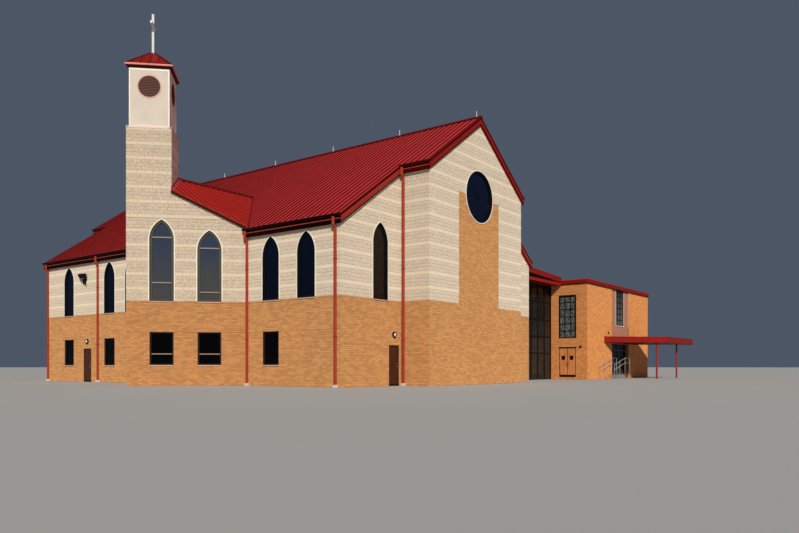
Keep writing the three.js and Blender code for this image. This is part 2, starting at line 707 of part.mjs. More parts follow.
// Rake boards and the short eaves beside each gable, one continuous run at each end
function endFascia() {
  const shoulder = (sign) => {
    const low = cheekEaveX + gap;
    const high = mainEaveX;
    return prismY(outline([
      [sign * low, roofUnderside(low)], [sign * high, roofUnderside(high)],
      [sign * high, roofTop(high)], [sign * low, roofTop(low)],
    ]), -shoulderY - boardOuter, -shoulderY - boardInner);
  };
  const reach = cheekEaveX + gap + boardThickness;
  const gable = prismY(outline([
    [-reach, roofUnderside(reach)], [0, roofUnderside(0)], [reach, roofUnderside(reach)],
    [reach, roofTop(reach)], [0, roofTop(0)], [-reach, roofTop(reach)],
  ]), -gableY - gableBoardOuter, -gableY - gableBoardInner);
  const cheek = (sign) => eave(sign, gableHalfWidth, -gableY - gableBoardOuter, -shoulderY - boardInner,
    [cheekPipeY], cheekPipeLead);
  return join(shoulder(-1), shoulder(1), gable, cheek(-1), cheek(1));
}

add('front_fascia', endFascia(), materials.trimMetal);
add('rear_fascia', endFascia().rotateZ(Math.PI), materials.trimMetal);

// Doors. A frame or leaf is drawn facing -Y: x to the right, y inwards, z up.
function doorFrame(width, sill, top) {
  const ring = prismY(rectangle(gap, 0, width - gap, top - gap), frameSetBack, frameSetBack + frameDepth,
    [rectangle(frameWidth, sill, width - frameWidth, top - frameWidth)]);
  return ring;
}

// A leaf with its hinge axis at the origin; hand is 1 where it runs to the right of the axis
function doorLeaf(width, height, hand) {
  const side = leafClearance;
  const face = knuckleRadius + gap;
  const span = (a, b) => (hand > 0 ? [a, b] : [-b, -a]);
  const leaf = box(...span(side, side + width), face, face + leafThickness, 0, height);
  const knuckles = knuckleShares.map((share) => {
    const centre = share * height;
    const pin = new THREE.CylinderGeometry(knuckleRadius, knuckleRadius, knuckleLength,
      knuckleSteps);
    return pin.rotateX(Math.PI / 2).translate(0, 0, centre);
  });
  const straps = knuckleShares.map((share) => {
    const centre = share * height;
    return box(...span(0, strapReach), knuckleRadius / 2, face + leafThickness / 2,
      centre - knuckleLength / 2, centre + knuckleLength / 2);
  });
  return join(leaf, ...knuckles, ...straps);
}

// Places a leaf or frame on a wall: origin on the wall's outer face, turned to face outwards
function hang(name, geometry, material, x, y, z, turn) {
  const mesh = add(name, geometry, material);
  mesh.position.set(x, y, z);
  mesh.rotation.z = turn;
}

function clearHeight(door) {
  return door.top - frameWidth - door.sill - 2 * leafClearance;
}

const hingeDepth = frameSetBack - knuckleRadius - gap;
const towardsLeft = -Math.PI / 2;

const frontDoorWidth = frontDoor.high - frontDoor.low;
hang('front_left_door_frame', doorFrame(frontDoorWidth, frontDoor.sill, frontDoor.top), materials.darkFrame,
  frontDoor.low, -shoulderY, 0, 0);
hang('front_left_door', doorLeaf(frontDoorWidth - 2 * frameWidth - 2 * leafClearance, clearHeight(frontDoor), 1),
  materials.brownDoor, frontDoor.low + frameWidth, -shoulderY + hingeDepth, frontDoor.sill + leafClearance, 0);

const sideDoorWidth = sideDoor.high - sideDoor.low;
hang('left_side_door_frame', doorFrame(sideDoorWidth, sideDoor.sill, sideDoor.top), materials.darkFrame,
  -naveHalfWidth, sideDoor.high, 0, towardsLeft);
hang('left_side_door', doorLeaf(sideDoorWidth - 2 * frameWidth - 2 * leafClearance, clearHeight(sideDoor), 1),
  materials.brownDoor, -naveHalfWidth + hingeDepth, sideDoor.high - frameWidth,
  sideDoor.sill + leafClearance, towardsLeft);

const annexDoorWidth = annexDoor.high - annexDoor.low;
const annexLeafWidth = (annexDoorWidth - 2 * frameWidth - 3 * leafClearance) / 2;
hang('annex_door_frame', doorFrame(annexDoorWidth, annexDoor.sill, annexDoor.top), materials.darkFrame,
  annexLeftX, annexDoor.high, 0, towardsLeft);
hang('annex_door_left', doorLeaf(annexLeafWidth, clearHeight(annexDoor), 1), materials.woodDoor,
  annexLeftX + hingeDepth, annexDoor.high - frameWidth, annexDoor.sill + leafClearance, towardsLeft);
hang('annex_door_right', doorLeaf(annexLeafWidth, clearHeight(annexDoor), -1), materials.woodDoor,
  annexLeftX + hingeDepth, annexDoor.low + frameWidth, annexDoor.sill + leafClearance, towardsLeft);

// Link: a glazed passage between the nave and the annex
const linkLeftX = naveHalfWidth + gap;
const linkRightX = annexLeftX - gap;

function linkGlazing(name, yLow) {
  add(name, box(linkLeftX, linkRightX, yLow, yLow + frameDepth, 0, linkSoffit - gap), materials.glass);
}

linkGlazing('link_front_glazing', linkFrontY);
linkGlazing('link_rear_glazing', linkRearY - frameDepth);
add('link_roof', prismY(outline([
  [linkLeftX, linkSoffit], [linkRightX, linkSoffit], [linkRightX, linkRoofTopLow],
  [linkRoofStartX, linkRoofTopHigh], [linkRoofStartX, linkBeamTop], [linkLeftX, linkBeamTop],
]), linkRoofFrontY, linkRoofRearY), materials.trimMetal);

// Annex: a flat-roofed brick hall
const annexInnerFrontY = annexFrontY + wallThickness;
const annexTop = annexWallTop - gap;
add('annex_left_over_door_wall',
  prismX(rectangle(annexFrontY, annexDoor.top, leadedWallEndY, annexTop), annexLeftX,
    annexLeftX + wallThickness,
    [rectangle(leadedWindow.low, leadedWindow.sill, leadedWindow.high, leadedWindow.top)]),
  materials.brick);
add('annex_left_wall',
  prismX(outline([
    [annexDoor.high + gap, 0], [annexRearY, 0], [annexRearY, annexTop], [leadedWallEndY + gap, annexTop],
    [leadedWallEndY + gap, annexDoor.top - gap], [annexDoor.high + gap, annexDoor.top - gap],
  ]), annexLeftX, annexLeftX + wallThickness,
  [rectangle(passage.low, -cutMargin, passage.high, passage.top)]),
  materials.brick);
add('annex_leaded_window',
  prismX(rectangle(leadedWindow.low + gap, leadedWindow.sill + gap, leadedWindow.high - gap,
    leadedWindow.top - gap), annexLeftX + paneRecess, annexLeftX + paneRecess + glassThickness),
  materials.leadedGlass);
const pier = box(annexLeftX, annexLeftX + wallThickness, annexFrontY, annexDoor.low - gap,
  0, annexDoor.top - gap);
add('annex_front_left_wall', join(
  box(annexLeftX + wallThickness + gap, panel.low - gap, annexFrontY, annexInnerFrontY, 0, annexTop),
  box(annexLeftX, annexLeftX + metre, annexFrontY, annexInnerFrontY, 0, annexDoor.top - gap),
  pier,
), materials.brick);
add('annex_front_right_wall',
  box(panel.high + gap, annexRightX, annexFrontY, annexInnerFrontY, 0, annexTop), materials.brick);
const panelSetBack = 0.06 * metre;
add('annex_front_panel',
  prismY(outline([
    [panel.low, panel.bottom], [panel.high, panel.bottom], [panel.high, annexTop],
    [panelWindow.high, annexTop], [panelWindow.high, panelWindow.sill],
    [panelWindow.low, panelWindow.sill], [panelWindow.low, annexTop], [panel.low, annexTop],
  ]), annexFrontY + panelSetBack, annexInnerFrontY),
  materials.panel);
add('annex_front_glass',
  box(panel.low - gap, panel.high + gap, annexInnerFrontY + gap, annexInnerFrontY + gap + frameDepth,
    annexFloorTop + gap, annexTop),
  materials.glass);
add('annex_rear_wall', join(
  box(annexRightX - wallThickness, annexRightX, annexInnerFrontY + gap, annexRearY, 0, annexTop),
  box(annexLeftX + wallThickness + gap, annexRightX, annexRearY - wallThickness, annexRearY, 0, annexTop),
), materials.brick);
add('annex_floor', join(
  box(annexLeftX + wallThickness + gap, annexRightX - wallThickness - gap, annexInnerFrontY + gap,
    annexRearY - wallThickness - gap, 0, annexFloorTop),
  box(linkLeftX, linkRightX, linkFrontY + frameDepth + gap, linkRearY - frameDepth - gap, 0, annexFloorTop),
  box(linkRightX - metre, annexLeftX + wallThickness + metre, passage.low + gap, passage.high - gap,
    0, annexFloorTop),
), materials.concrete);
// The annex roof oversails its walls, but stops at the wall where the link meets it
add('annex_roof', prismZ(outline([
  [annexLeftX - annexOverhang, annexFrontY - annexOverhang],
  [annexRightX + annexOverhang, annexFrontY - annexOverhang],
  [annexRightX + annexOverhang, annexRearY + annexOverhang],
  [annexLeftX, annexRearY + annexOverhang],
  [annexLeftX, linkRoofFrontY - gap],
  [annexLeftX - annexOverhang, linkRoofFrontY - gap],
]), annexWallTop, annexRoofTop), materials.trimMetal);

// Canopy over the annex entrance: a flat roof with both ends cut at 45 degrees, on two posts
const canopyBackY = annexFrontY - gap;
const canopyCornerX = canopyWallX + annexFrontY - canopyFrontY;
const canopySlab = prismZ(outline([
  [canopyWallX, canopyBackY], [canopyCornerX, canopyFrontY], [canopyEndX, canopyFrontY],
  [canopyEndX - (annexFrontY - canopyFrontY), canopyBackY],
]), canopyBottom, canopyTop);
const canopyPosts = canopyPostsX.map((x) => {
  const height = canopyBottom + gap;
  const post = new THREE.CylinderGeometry(canopyPostRadius, canopyPostRadius, height, postSteps);
  return post.rotateX(Math.PI / 2).translate(x, canopyPostY, height / 2);
});
add('canopy', join(canopySlab, ...canopyPosts), materials.trimMetal);

export default church;
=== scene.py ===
"""A modern church of orange brick and cream split-face block under red standing-seam roofs.

Lengths are the real ones in metres, and METRE makes them the 1:2 model's. +X runs across the nave
towards the annex, +Y along the ridge away from the tower's end and +Z up. The origin is at ground
level in the middle of the nave.
"""

import json
import math

import bpy
import numpy as np
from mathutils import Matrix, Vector

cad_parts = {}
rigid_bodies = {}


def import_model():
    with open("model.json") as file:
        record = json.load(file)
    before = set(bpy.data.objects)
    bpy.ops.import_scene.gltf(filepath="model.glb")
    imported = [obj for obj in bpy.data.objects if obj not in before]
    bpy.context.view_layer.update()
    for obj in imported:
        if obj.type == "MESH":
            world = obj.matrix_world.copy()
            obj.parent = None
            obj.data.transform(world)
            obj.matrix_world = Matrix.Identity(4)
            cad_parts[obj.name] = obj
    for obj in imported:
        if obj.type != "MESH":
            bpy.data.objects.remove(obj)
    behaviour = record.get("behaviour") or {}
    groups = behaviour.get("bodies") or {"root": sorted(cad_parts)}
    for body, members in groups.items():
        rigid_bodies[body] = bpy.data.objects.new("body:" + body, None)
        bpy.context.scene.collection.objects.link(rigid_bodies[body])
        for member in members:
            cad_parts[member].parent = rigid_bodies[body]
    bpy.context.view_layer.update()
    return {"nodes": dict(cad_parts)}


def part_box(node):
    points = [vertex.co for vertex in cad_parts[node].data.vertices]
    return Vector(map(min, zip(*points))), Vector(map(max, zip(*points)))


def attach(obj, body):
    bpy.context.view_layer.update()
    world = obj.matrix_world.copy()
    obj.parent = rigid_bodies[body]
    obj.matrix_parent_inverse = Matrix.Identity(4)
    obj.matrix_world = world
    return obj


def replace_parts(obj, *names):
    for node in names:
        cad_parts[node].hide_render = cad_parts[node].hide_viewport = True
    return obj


bl_info = {
    "name": "Brick and Block Church",
    "version": (1, 0, 0),
    "blender": (4, 5, 0),
    "location": "View3D > Sidebar > Church",
    "description": "Masonry, roofs, windows, doors and trims of a church with a corner tower",
    "category": "Object",
}

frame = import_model()

METRE = 0.5
ROOT2 = math.sqrt(2)
BUILDING = "building"
SEED = 41


def edge(node, axis, side):
    """Where a CAD node starts (side 0) or ends (side 1) along an axis, in real metres."""
    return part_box(node)[side]["xyz".index(axis)] / METRE


# Plan, from the frame
NAVE_X = -edge("left_front_side_wall", "x", 0)
SHOULDER_Y = -edge("front_left_shoulder_wall", "y", 0)
GABLE_Y = -edge("front_wall", "y", 0)
GABLE_X = 5.4
ANNEX_LEFT = edge("annex_left_wall", "x", 0)
ANNEX_RIGHT = edge("annex_rear_wall", "x", 1)
ANNEX_FRONT = edge("annex_front_left_wall", "y", 0)
ANNEX_REAR = edge("annex_rear_wall", "y", 1)
PANEL_LEFT = edge("annex_front_panel", "x", 0)
PANEL_RIGHT = edge("annex_front_panel", "x", 1)
PANEL_BOTTOM = edge("annex_front_panel", "z", 0)
PANEL_FACE = edge("annex_front_panel", "y", 0)

# Roofs
PITCH = 0.695
RIDGE = 16.3
ROOF_DEPTH = 0.54
OVERHANG = 0.12
GABLE_OVERHANG = 0.08
BAY_RIDGE = 12.26
BAY_PITCH = 0.67
BAY_ROOF_DEPTH = 0.19
BAY_FASCIA = 0.05
MAIN_EAVE = NAVE_X + OVERHANG
CHEEK_EAVE = GABLE_X + OVERHANG

# Bay and tower
BAY_Y = -2.96
BAY_HALF = 4.6
BAY_TIP = -NAVE_X - BAY_HALF
BAY_WALL = BAY_HALF * ROOT2
TOWER = 2.44
TOWER_X = BAY_TIP + TOWER / ROOT2
# How far left of the nave's ridge the bay's ridge meets the tower
TOWER_CORNER = -TOWER_X - TOWER / ROOT2
TOWER_TOP = edge("belfry", "z", 0)
BELFRY = 2.20
BELFRY_TOP = edge("tower_roof", "z", 0)
TOWER_ROOF_TOP = 19.25
TOWER_ROOF_HALF = 1.30
TOWER_FASCIA = 0.20
LOUVRE_RADIUS = 0.60
LOUVRE_HEIGHT = 16.83
VALLEY_X = (RIDGE - BAY_RIDGE) / PITCH

# Storeys and openings
BRICK_LINE = 4.76
SIDE_TOP = RIDGE - ROOF_DEPTH - PITCH * NAVE_X
LANCET_WIDTH = 1.25
LANCET_TOP = 8.25
SHOULDER_LANCET = {"x": 7.2, "width": 1.30, "top": 8.97, "lining": 0.006}
LOWER = {"width": 1.22, "sill": 1.18, "top": 3.0}
LEFT_LANCETS = [-12.4, -9.69, 3.78, 6.33, 11.6]
LEFT_LOWER = [-9.69, 6.33, 11.6]
RIGHT_WINDOWS = [-1.3, 1.24, 3.78, 6.33, 8.97, 11.6]
BAY_WINDOWS = [
    {"along": 1.91, "top": 9.31, "bars": (5.8, 8.35)},
    {"along": 4.53, "top": 8.76, "bars": (5.29, 7.79)},
]
BAY_WINDOW_WIDTH = 1.27
LOWER_BAR = 1.79
ROUND = {"radius": 1.53, "height": 11.4, "spokes": 8}
BRICK_PANEL = {"half": 2.35, "top": 11.33}
FRONT_DOOR = {"low": -6.43, "high": -5.51, "top": 2.27}
SIDE_DOOR = {"low": 8.64, "high": 9.64, "top": 2.35}
ANNEX_DOOR = {"low": -14.79, "high": -13.30, "sill": 0.38, "top": 2.66}
LEADED = {"low": -14.83, "high": -13.28, "sill": 3.48, "top": 7.11}
PANEL_WINDOW = {"low": 25.8, "high": 27.8, "sill": 4.8, "top": 8.0}
PASSAGE = {"low": -10.0, "high": -7.2, "top": 2.7}
TRIM = 0.055
LINING = 0.036
LOWER_LINING = 0.018
SILL = 0.075
LOWER_SILL = 0.08
ROUND_LINING = 0.03
PANE_DEPTH = 0.12

UP = np.array([0, 0, 1.0])
ARCH_STEPS = 14
ROUND_STEPS = 48
BOX_CORNERS = np.array([
    [0, 0, 0], [1, 0, 0], [1, 1, 0], [0, 1, 0], [0, 0, 1], [1, 0, 1], [1, 1, 1], [0, 1, 1],
])
BOX_FACES = np.array([[0, 3, 2, 1], [4, 5, 6, 7], [0, 1, 5, 4], [1, 2, 6, 5], [2, 3, 7, 6], [3, 0, 4, 7]])


# Meshes


class Surfaces:
    """Points and faces gathered for one piece, in real metres, with a tone for each face."""

    def __init__(self):
        self.points = []
        self.faces = []
        self.tones = []
        self.count = 0

    def add(self, shape, tone=0.5):
        """Takes a shape, which is points (n, 3) and a list of face arrays (m, k), and a tone.

        The tone is one number, a number for each face, or a list with one of these for each array.
        """
        points, groups = shape
        tones = tone if isinstance(tone, list) else [tone] * len(groups)
        for faces, each in zip(groups, tones):
            self.faces.append(faces + self.count)
            self.tones.append(np.broadcast_to(each, len(faces)))
        self.points.append(points)
        self.count += len(points)

    def hang(self, wall, shape, tone=0.5):
        """Takes a shape drawn on a wall's face, moved to where the wall stands."""
        points, groups = shape
        self.add((wall.place(points), groups), tone)

    def plate(self, wall, outline, back, front, tone=0.5):
        """Takes a flat outline drawn on a wall, made solid from back to front."""
        self.hang(wall, slab(outline, back, front), tone)

    def piece(self, name, finish, slot, body=BUILDING, smooth=False):
        """Makes the gathered faces one object that rides on a body, in the finish of that name."""
        points = np.concatenate(self.points) * METRE
        corners = np.concatenate([faces.ravel() for faces in self.faces])
        sizes = np.concatenate([np.full(len(faces), faces.shape[1]) for faces in self.faces])
        mesh = bpy.data.meshes.new(name)
        mesh.vertices.add(len(points))
        mesh.vertices.foreach_set("co", points.astype(np.float32).ravel())
        mesh.loops.add(len(corners))
        mesh.loops.foreach_set("vertex_index", corners.astype(np.int32))
        mesh.polygons.add(len(sizes))
        mesh.polygons.foreach_set("loop_start", (np.cumsum(sizes) - sizes).astype(np.int32))
        mesh.update(calc_edges=True)
        mesh.validate()
        tone = mesh.attributes.new("tone", "FLOAT", "FACE")
        tone.data.foreach_set("value", np.concatenate(self.tones).astype(np.float32))
        mesh.polygons.foreach_set("use_smooth", np.full(len(sizes), smooth))
        mesh.materials.append(finish_for(finish))
        made = bpy.data.objects.new(name, mesh)
        bpy.context.scene.collection.objects.link(made)
        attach(made, body)
        return made


def loft(rings, closed=False):
    """A skin through closed rings of points (m, k, 3): ring after ring is joined by four-sided faces.

    The two end rings are closed by flat faces, or with closed the last ring is joined to the first.
    A negative volume, found by the sum of the signed tetrahedra, turns all faces round.
    """
    rings = np.asarray(rings, float)
    count, size = rings.shape[:2]
    points = rings.reshape(-1, 3)
    step = np.arange(size)
    start = np.arange(count if closed else count - 1)[:, None] * size
    follow = (start + size) % (count * size)
    turn = np.roll(step, -1)
    quads = np.stack([start + step, start + turn, follow + turn, follow + step], -1).reshape(-1, 4)
    groups = [quads]
    if not closed:
        groups.append(np.stack([step[::-1], (count - 1) * size + step]))
    centre = points - points.mean(0)
    a, b, c, d = (centre[quads[:, i]] for i in range(4))
    volume = (a * np.cross(b, c)).sum() + (a * np.cross(c, d)).sum()
    if not closed:
        for cap in groups[1]:
            fan = centre[cap]
            volume += (fan[0] * np.cross(fan[1:-1], fan[2:])).sum()
    if volume < 0:
        groups = [faces[:, ::-1] for faces in groups]
    return points, groups


def blocks_from(points):
    """Six-sided blocks from their corners (n, 8, 3): four round the base, then the four over them."""
    faces = BOX_FACES[None] + 8 * np.arange(len(points))[:, None, None]
    return points.reshape(-1, 3), [faces.reshape(-1, 4)]


def upright_box(low, high):
    """A box between its lowest and its highest corner."""
    low, high = np.array(low, float), np.array(high, float)
    return blocks_from((low * (1 - BOX_CORNERS) + high * BOX_CORNERS)[None])


def raised(outline, level):
    """A flat outline (n, 2) with a third number, the same at each of its points."""
    return np.column_stack([outline, np.full(len(outline), level)])


def slab(outline, back, front):
    """A flat outline (n, 2) drawn across and up a wall, made solid from back to front."""
    return loft([raised(outline, depth) for depth in (back, front)])


def border_rings(outer, inner, back, front):
    """The four corners of a frame's section at each point of two outlines."""
    corners = ((outer, back), (outer, front), (inner, front), (inner, back))
    return np.stack([raised(line, depth) for line, depth in corners], 1)


def border(outer, inner, back, front):
    """A closed frame of even depth between two outlines with the same number of points."""
    return loft(border_rings(outer, inner, back, front), closed=True)


def turned(across, up, profile, steps):
    """A turned shape: a loft through circles about one centre, given as (radius, level) pairs."""
    return loft([raised(circle(across, up, radius, steps), level) for radius, level in profile])


def unit(vectors):
    """Vectors brought to length one."""
    return vectors / np.linalg.norm(vectors, axis=-1, keepdims=True)


def mitre(before, after):
    """Steps at corners that move both sides by one: the normals' sum over one plus their cosine."""
    both = before + after
    return both / (both * before).sum(1)[:, None]


def sweep(section, path, side):
    """Carries a section (k, 2) along a flat path (m, 3) with mitred corners.

    Each ring is the path's point plus the section's first number along side, the direction square to
    the path's plane, plus its second number along the corner's mitre.
    """
    path, side, section = (np.asarray(given, float) for given in (path, side, section))
    normals = np.cross(side, unit(np.diff(path, axis=0)))
    corners = mitre(np.vstack([normals[:1], normals]), np.vstack([normals, normals[-1:]]))
    return loft(path[:, None] + section[None, :, :1] * side + section[None, :, 1:] * corners[:, None])


def tube(path, radius, sides=12):
    """A round bar along a path: at each point a circle square to the mean of the stretches beside it.

    The circle's first direction is square to that mean and to the axis that the path is least along.
    """
    path = np.asarray(path, float)
    runs = unit(np.diff(path, axis=0))
    along = unit(np.vstack([runs[:1], runs[:-1] + runs[1:], runs[-1:]]))
    first = unit(np.cross(along, np.eye(3)[np.argmin(np.abs(runs).max(0))]))
    second = np.cross(along, first)
    turn = circle(0, 0, radius, sides)
    return loft(path[:, None] + first[:, None] * turn[:, :1] + second[:, None] * turn[:, 1:])


def rectangle(left, bottom, right, top):
    """Corners of an upright rectangle, anticlockwise from the lower left."""
    return np.array([[left, bottom], [right, bottom], [right, top], [left, top]], float)


def circle(across, up, radius, steps=ROUND_STEPS):
    """A ring of points: centre plus radius times cosine and sine of even steps of a full turn."""
    angle = np.arange(steps) * 2 * math.pi / steps
    return np.column_stack([across + radius * np.cos(angle), up + radius * np.sin(angle)])


def spring_height(width, top):
    """Where a pointed arch leaves its upright sides: its width times half root three below its top."""
    return top - width * math.sqrt(3) / 2


def arch(centre, width, sill, top, inset=0.0, foot=None):
    """A pointed arch: upright sides, then two arcs about the opposite ends of the springing line.

    A point of an arc is radius times the cosine and sine of even steps of the angle, up to where the
    arcs meet. An inset shortens both radii and moves the sides in by the same amount.
    """
    side, spring, radius = width / 2, spring_height(width, top), width - inset
    angle = np.linspace(0, math.acos(side / radius), ARCH_STEPS)
    across, up = radius * np.cos(angle) - side, spring + radius * np.sin(angle)
    foot = sill + inset if foot is None else foot
    right = np.column_stack([centre + across, up])
    left = np.column_stack([centre - across, up])[::-1][1:]
    base = [[centre - side + inset, foot], [centre + side - inset, foot]]
    return np.vstack([base, right, left])


class Wall:
    """A wall's outer face to draw on: across runs to the right as seen from outside, then up, then out."""

    def __init__(self, x, y, facing):
        angle = math.radians(facing)
        self.origin = np.array([x, y, 0.0])
        self.out = np.array([math.cos(angle), math.sin(angle), 0.0])
        self.across = np.array([-math.sin(angle), math.cos(angle), 0.0])

    def place(self, local):
        """Turns across, up and out into x, y and z."""
        return self.origin + local[..., :1] * self.across + local[..., 1:2] * UP + local[..., 2:] * self.out


FRONT_GABLE = Wall(0, -GABLE_Y, -90)
REAR_GABLE = Wall(0, GABLE_Y, 90)
FRONT_SHOULDERS = Wall(0, -SHOULDER_Y, -90)
REAR_SHOULDERS = Wall(0, SHOULDER_Y, 90)
LEFT_CHEEKS = Wall(-GABLE_X, 0, 180)
RIGHT_CHEEKS = Wall(GABLE_X, 0, 0)
LEFT_SIDE = Wall(-NAVE_X, 0, 180)
RIGHT_SIDE = Wall(NAVE_X, 0, 0)
BAY_FRONT = Wall(BAY_TIP, BAY_Y, -135)
BAY_REAR = Wall(BAY_TIP, BAY_Y, 135)
ANNEX_FACES = {
    "front": Wall(0, ANNEX_FRONT, -90),
    "left": Wall(ANNEX_LEFT, 0, 180),
    "right": Wall(ANNEX_RIGHT, 0, 0),
    "rear": Wall(0, ANNEX_REAR, 90),
}


def tower_face(facing, half):
    """The face of the turned square tower that looks in a direction, at half its width from the axis."""
    angle = math.radians(facing)
    return Wall(TOWER_X + half * math.cos(angle), BAY_Y + half * math.sin(angle), facing)


def tower_faces(half):
    """All four faces of the tower, in the order of their directions."""
    return [tower_face(facing, half) for facing in (-135, -45, 45, 135)]


# Finishes


class Finish:
    """A material under construction, with short calls for the nodes that it needs."""

    def __init__(self, name, roughness, **sockets):
        self.material = bpy.data.materials.new(name)
        self.material.use_nodes = True
        self.tree = self.material.node_tree
        self.shader = self.tree.nodes["Principled BSDF"]
        self.objects = self.tree.nodes.new("ShaderNodeTexCoord").outputs["Object"]
        self.put("Roughness", roughness)
        for key, value in sockets.items():
            self.put(key.replace("_", " "), value)

    def put(self, key, value):
        """Sets a socket of the shader, or links it when it is given another node's output."""
        self.fill(self.shader.inputs[key], value)

    def fill(self, socket, value):
        """Sets or links any socket."""
        if isinstance(value, bpy.types.NodeSocket):
            self.tree.links.new(value, socket)
        else:
            socket.default_value = value

    def node(self, kind, inputs, **settings):
        """Adds a node of a kind, with its settings and what goes into its sockets."""
        made = self.tree.nodes.new(kind)
        for key, value in settings.items():
            setattr(made, key, value)
        for key, value in inputs.items():
            self.fill(made.inputs[key], value)
        return made

    def noise(self, grain, detail=3.0, roughness=0.6, stretch=(1, 1, 1)):
        """Cloudy noise with features of about grain real metres, longer where stretch is small."""
        scale = tuple(s / (grain * METRE) for s in stretch)
        place = self.node("ShaderNodeMapping", {"Vector": self.objects, "Scale": scale})
        made = self.node(
            "ShaderNodeTexNoise",
            {"Vector": place.outputs[0], "Scale": 1.0, "Detail": detail, "Roughness": roughness},
        )
        return made.outputs["Fac"]

    def tone(self):
        """The number that each brick, block or pane carries."""
        return self.node("ShaderNodeAttribute", {}, attribute_name="tone").outputs["Fac"]

    def height(self):
        """Height over the ground in the model's metres."""
        return self.node("ShaderNodeSeparateXYZ", {"Vector": self.objects}).outputs["Z"]

    def ramp(self, amount, stops):
        """Colours along a number, given as (place, colour) pairs."""
        made = self.node("ShaderNodeValToRGB", {"Fac": amount})
        elements = made.color_ramp.elements
        while len(elements) < len(stops):
            elements.new(0.5)
        for element, (place, colour) in zip(elements, stops):
            element.position = place
            element.color = (*colour, 1)
        return made.outputs["Color"]

    def blend(self, amount, first, second):
        """Two colours mixed by an amount."""
        made = self.node("ShaderNodeMix", {0: amount}, data_type="RGBA")
        for place, value in ((6, first), (7, second)):
            self.fill(made.inputs[place], value if isinstance(value, bpy.types.NodeSocket) else (*value, 1))
        return made.outputs[2]

    def between(self, amount, low, high, start=0.0, end=1.0):
        """A number moved from the range start to end into low to high."""
        inputs = {"Value": amount, "From Min": start, "From Max": end, "To Min": low, "To Max": high}
        return self.node("ShaderNodeMapRange", inputs).outputs[0]

    def mottled(self, cloud, colour, dark, pale, start=0.3, end=0.7):
        """A colour from a darker to a paler tone of itself along a cloud."""
        return self.blend(self.between(cloud, 0.0, 1.0, start, end), shade(colour, dark), shade(colour, pale))

    def paint(self, amount, limits, base, other):
        """Sets the base colour: base, mixed with another one by an amount moved into limits."""
        self.put("Base Color", self.blend(self.between(amount, *limits), base, other))

    def bump(self, height, depth, strength=1.0):
        """Relief on the shader's normal, depth in real metres."""
        inputs = {"Height": height, "Distance": depth * METRE, "Strength": strength}
        self.put("Normal", self.node("ShaderNodeBump", inputs).outputs[0])
        return self


def srgb(red, green, blue):
    """A colour given in display numbers from 0 to 255, as linear light."""
    def linear(value):
        value /= 255
        return value / 12.92 if value <= 0.04045 else ((value + 0.055) / 1.055) ** 2.4

    return tuple(linear(value) for value in (red, green, blue))


def shade(colour, factor):
    """A colour made lighter or darker by a factor."""
    return tuple(min(1.0, c * factor) for c in colour)


def unit_finish(name, colour, spread, speckle, grain, relief, diffuse=0.8):
    """Bricks or blocks: each has its own tone of the colour, under fine grit and slow staining."""
    made = Finish(name, 0.9, Diffuse_Roughness=diffuse, Specular_IOR_Level=0.2)
    tones = [(0.0, shade(colour, 1 - spread)), (0.5, colour), (1.0, shade(colour, 1 + spread))]
    base = made.ramp(made.tone(), tones)
    grit = made.noise(grain, 4.0, 0.7)
    gritty = made.blend(made.between(grit, speckle, 0.0, 0.32, 0.57), base, shade(colour, 0.45))
    made.paint(made.noise(3.0, 3.0), (0.12, 0.0, 0.35, 0.6), gritty, shade(colour, 0.72))
    return made.bump(grit, relief).material


def mortar_finish(name, low, high):
    """Mortar and the plain wall behind the units: sandy and patchy, and paler above the brick line."""
    made = Finish(name, 0.95, Diffuse_Roughness=1.0)
    line = BRICK_LINE * METRE
    colour = made.blend(made.between(made.height(), 0.0, 1.0, line - 0.002, line + 0.002), low, high)
    sand = made.noise(0.02, 4.0, 0.7)
    base = made.blend(made.between(made.noise(1.4, 3.0), 0.0, 0.5), colour, shade(low, 0.9))
    made.paint(sand, (0.0, 0.25), base, shade(low, 0.6))
    return made.bump(sand, 0.004).material


def stucco_finish(name, colour):
    """Trowelled stucco: sandy relief with broad, faint trowel clouds."""
    made = Finish(name, 0.9, Diffuse_Roughness=0.8)
    sand = made.noise(0.035, 5.0, 0.75)
    base = made.mottled(made.noise(0.8, 3.0, 0.55), colour, 0.96, 1.03, 0.35, 0.65)
    made.paint(sand, (0.25, 0.0, 0.35, 0.6), base, shade(colour, 0.8))
    return made.bump(sand, 0.006).material


def cast_finish(name, colour):
    """Cast stone or concrete: even, with fine pores and slow clouds."""
    made = Finish(name, 0.8)
    pore = made.noise(0.012, 3.0, 0.7)
    base = made.mottled(made.noise(0.6, 2.0), colour, 0.94, 1.03, 0.35, 0.65)
    made.paint(pore, (0.3, 0.0, 0.3, 0.5), base, shade(colour, 0.7))
    return made.bump(pore, 0.002).material


def metal_finish(name, colour, roughness, waves, streak=(1, 1, 1)):
    """Painted sheet metal: slight chalking in streaks, uneven gloss, and the sheet's faint waves."""
    made = Finish(name, roughness, Specular_IOR_Level=0.2)
    cloud = made.noise(0.9, 4.0, 0.6, streak)
    fine = made.noise(0.05, 3.0, 0.6, streak)
    made.paint(fine, (0.18, 0.0, 0.3, 0.55), made.mottled(cloud, colour, 0.86, 1.10), shade(colour, 0.65))
    made.put("Roughness", made.between(cloud, roughness + 0.08, roughness - 0.06, 0.3, 0.7))
    return made.bump(made.noise(0.5, 2.0, 0.5, streak), 0.004, waves).material


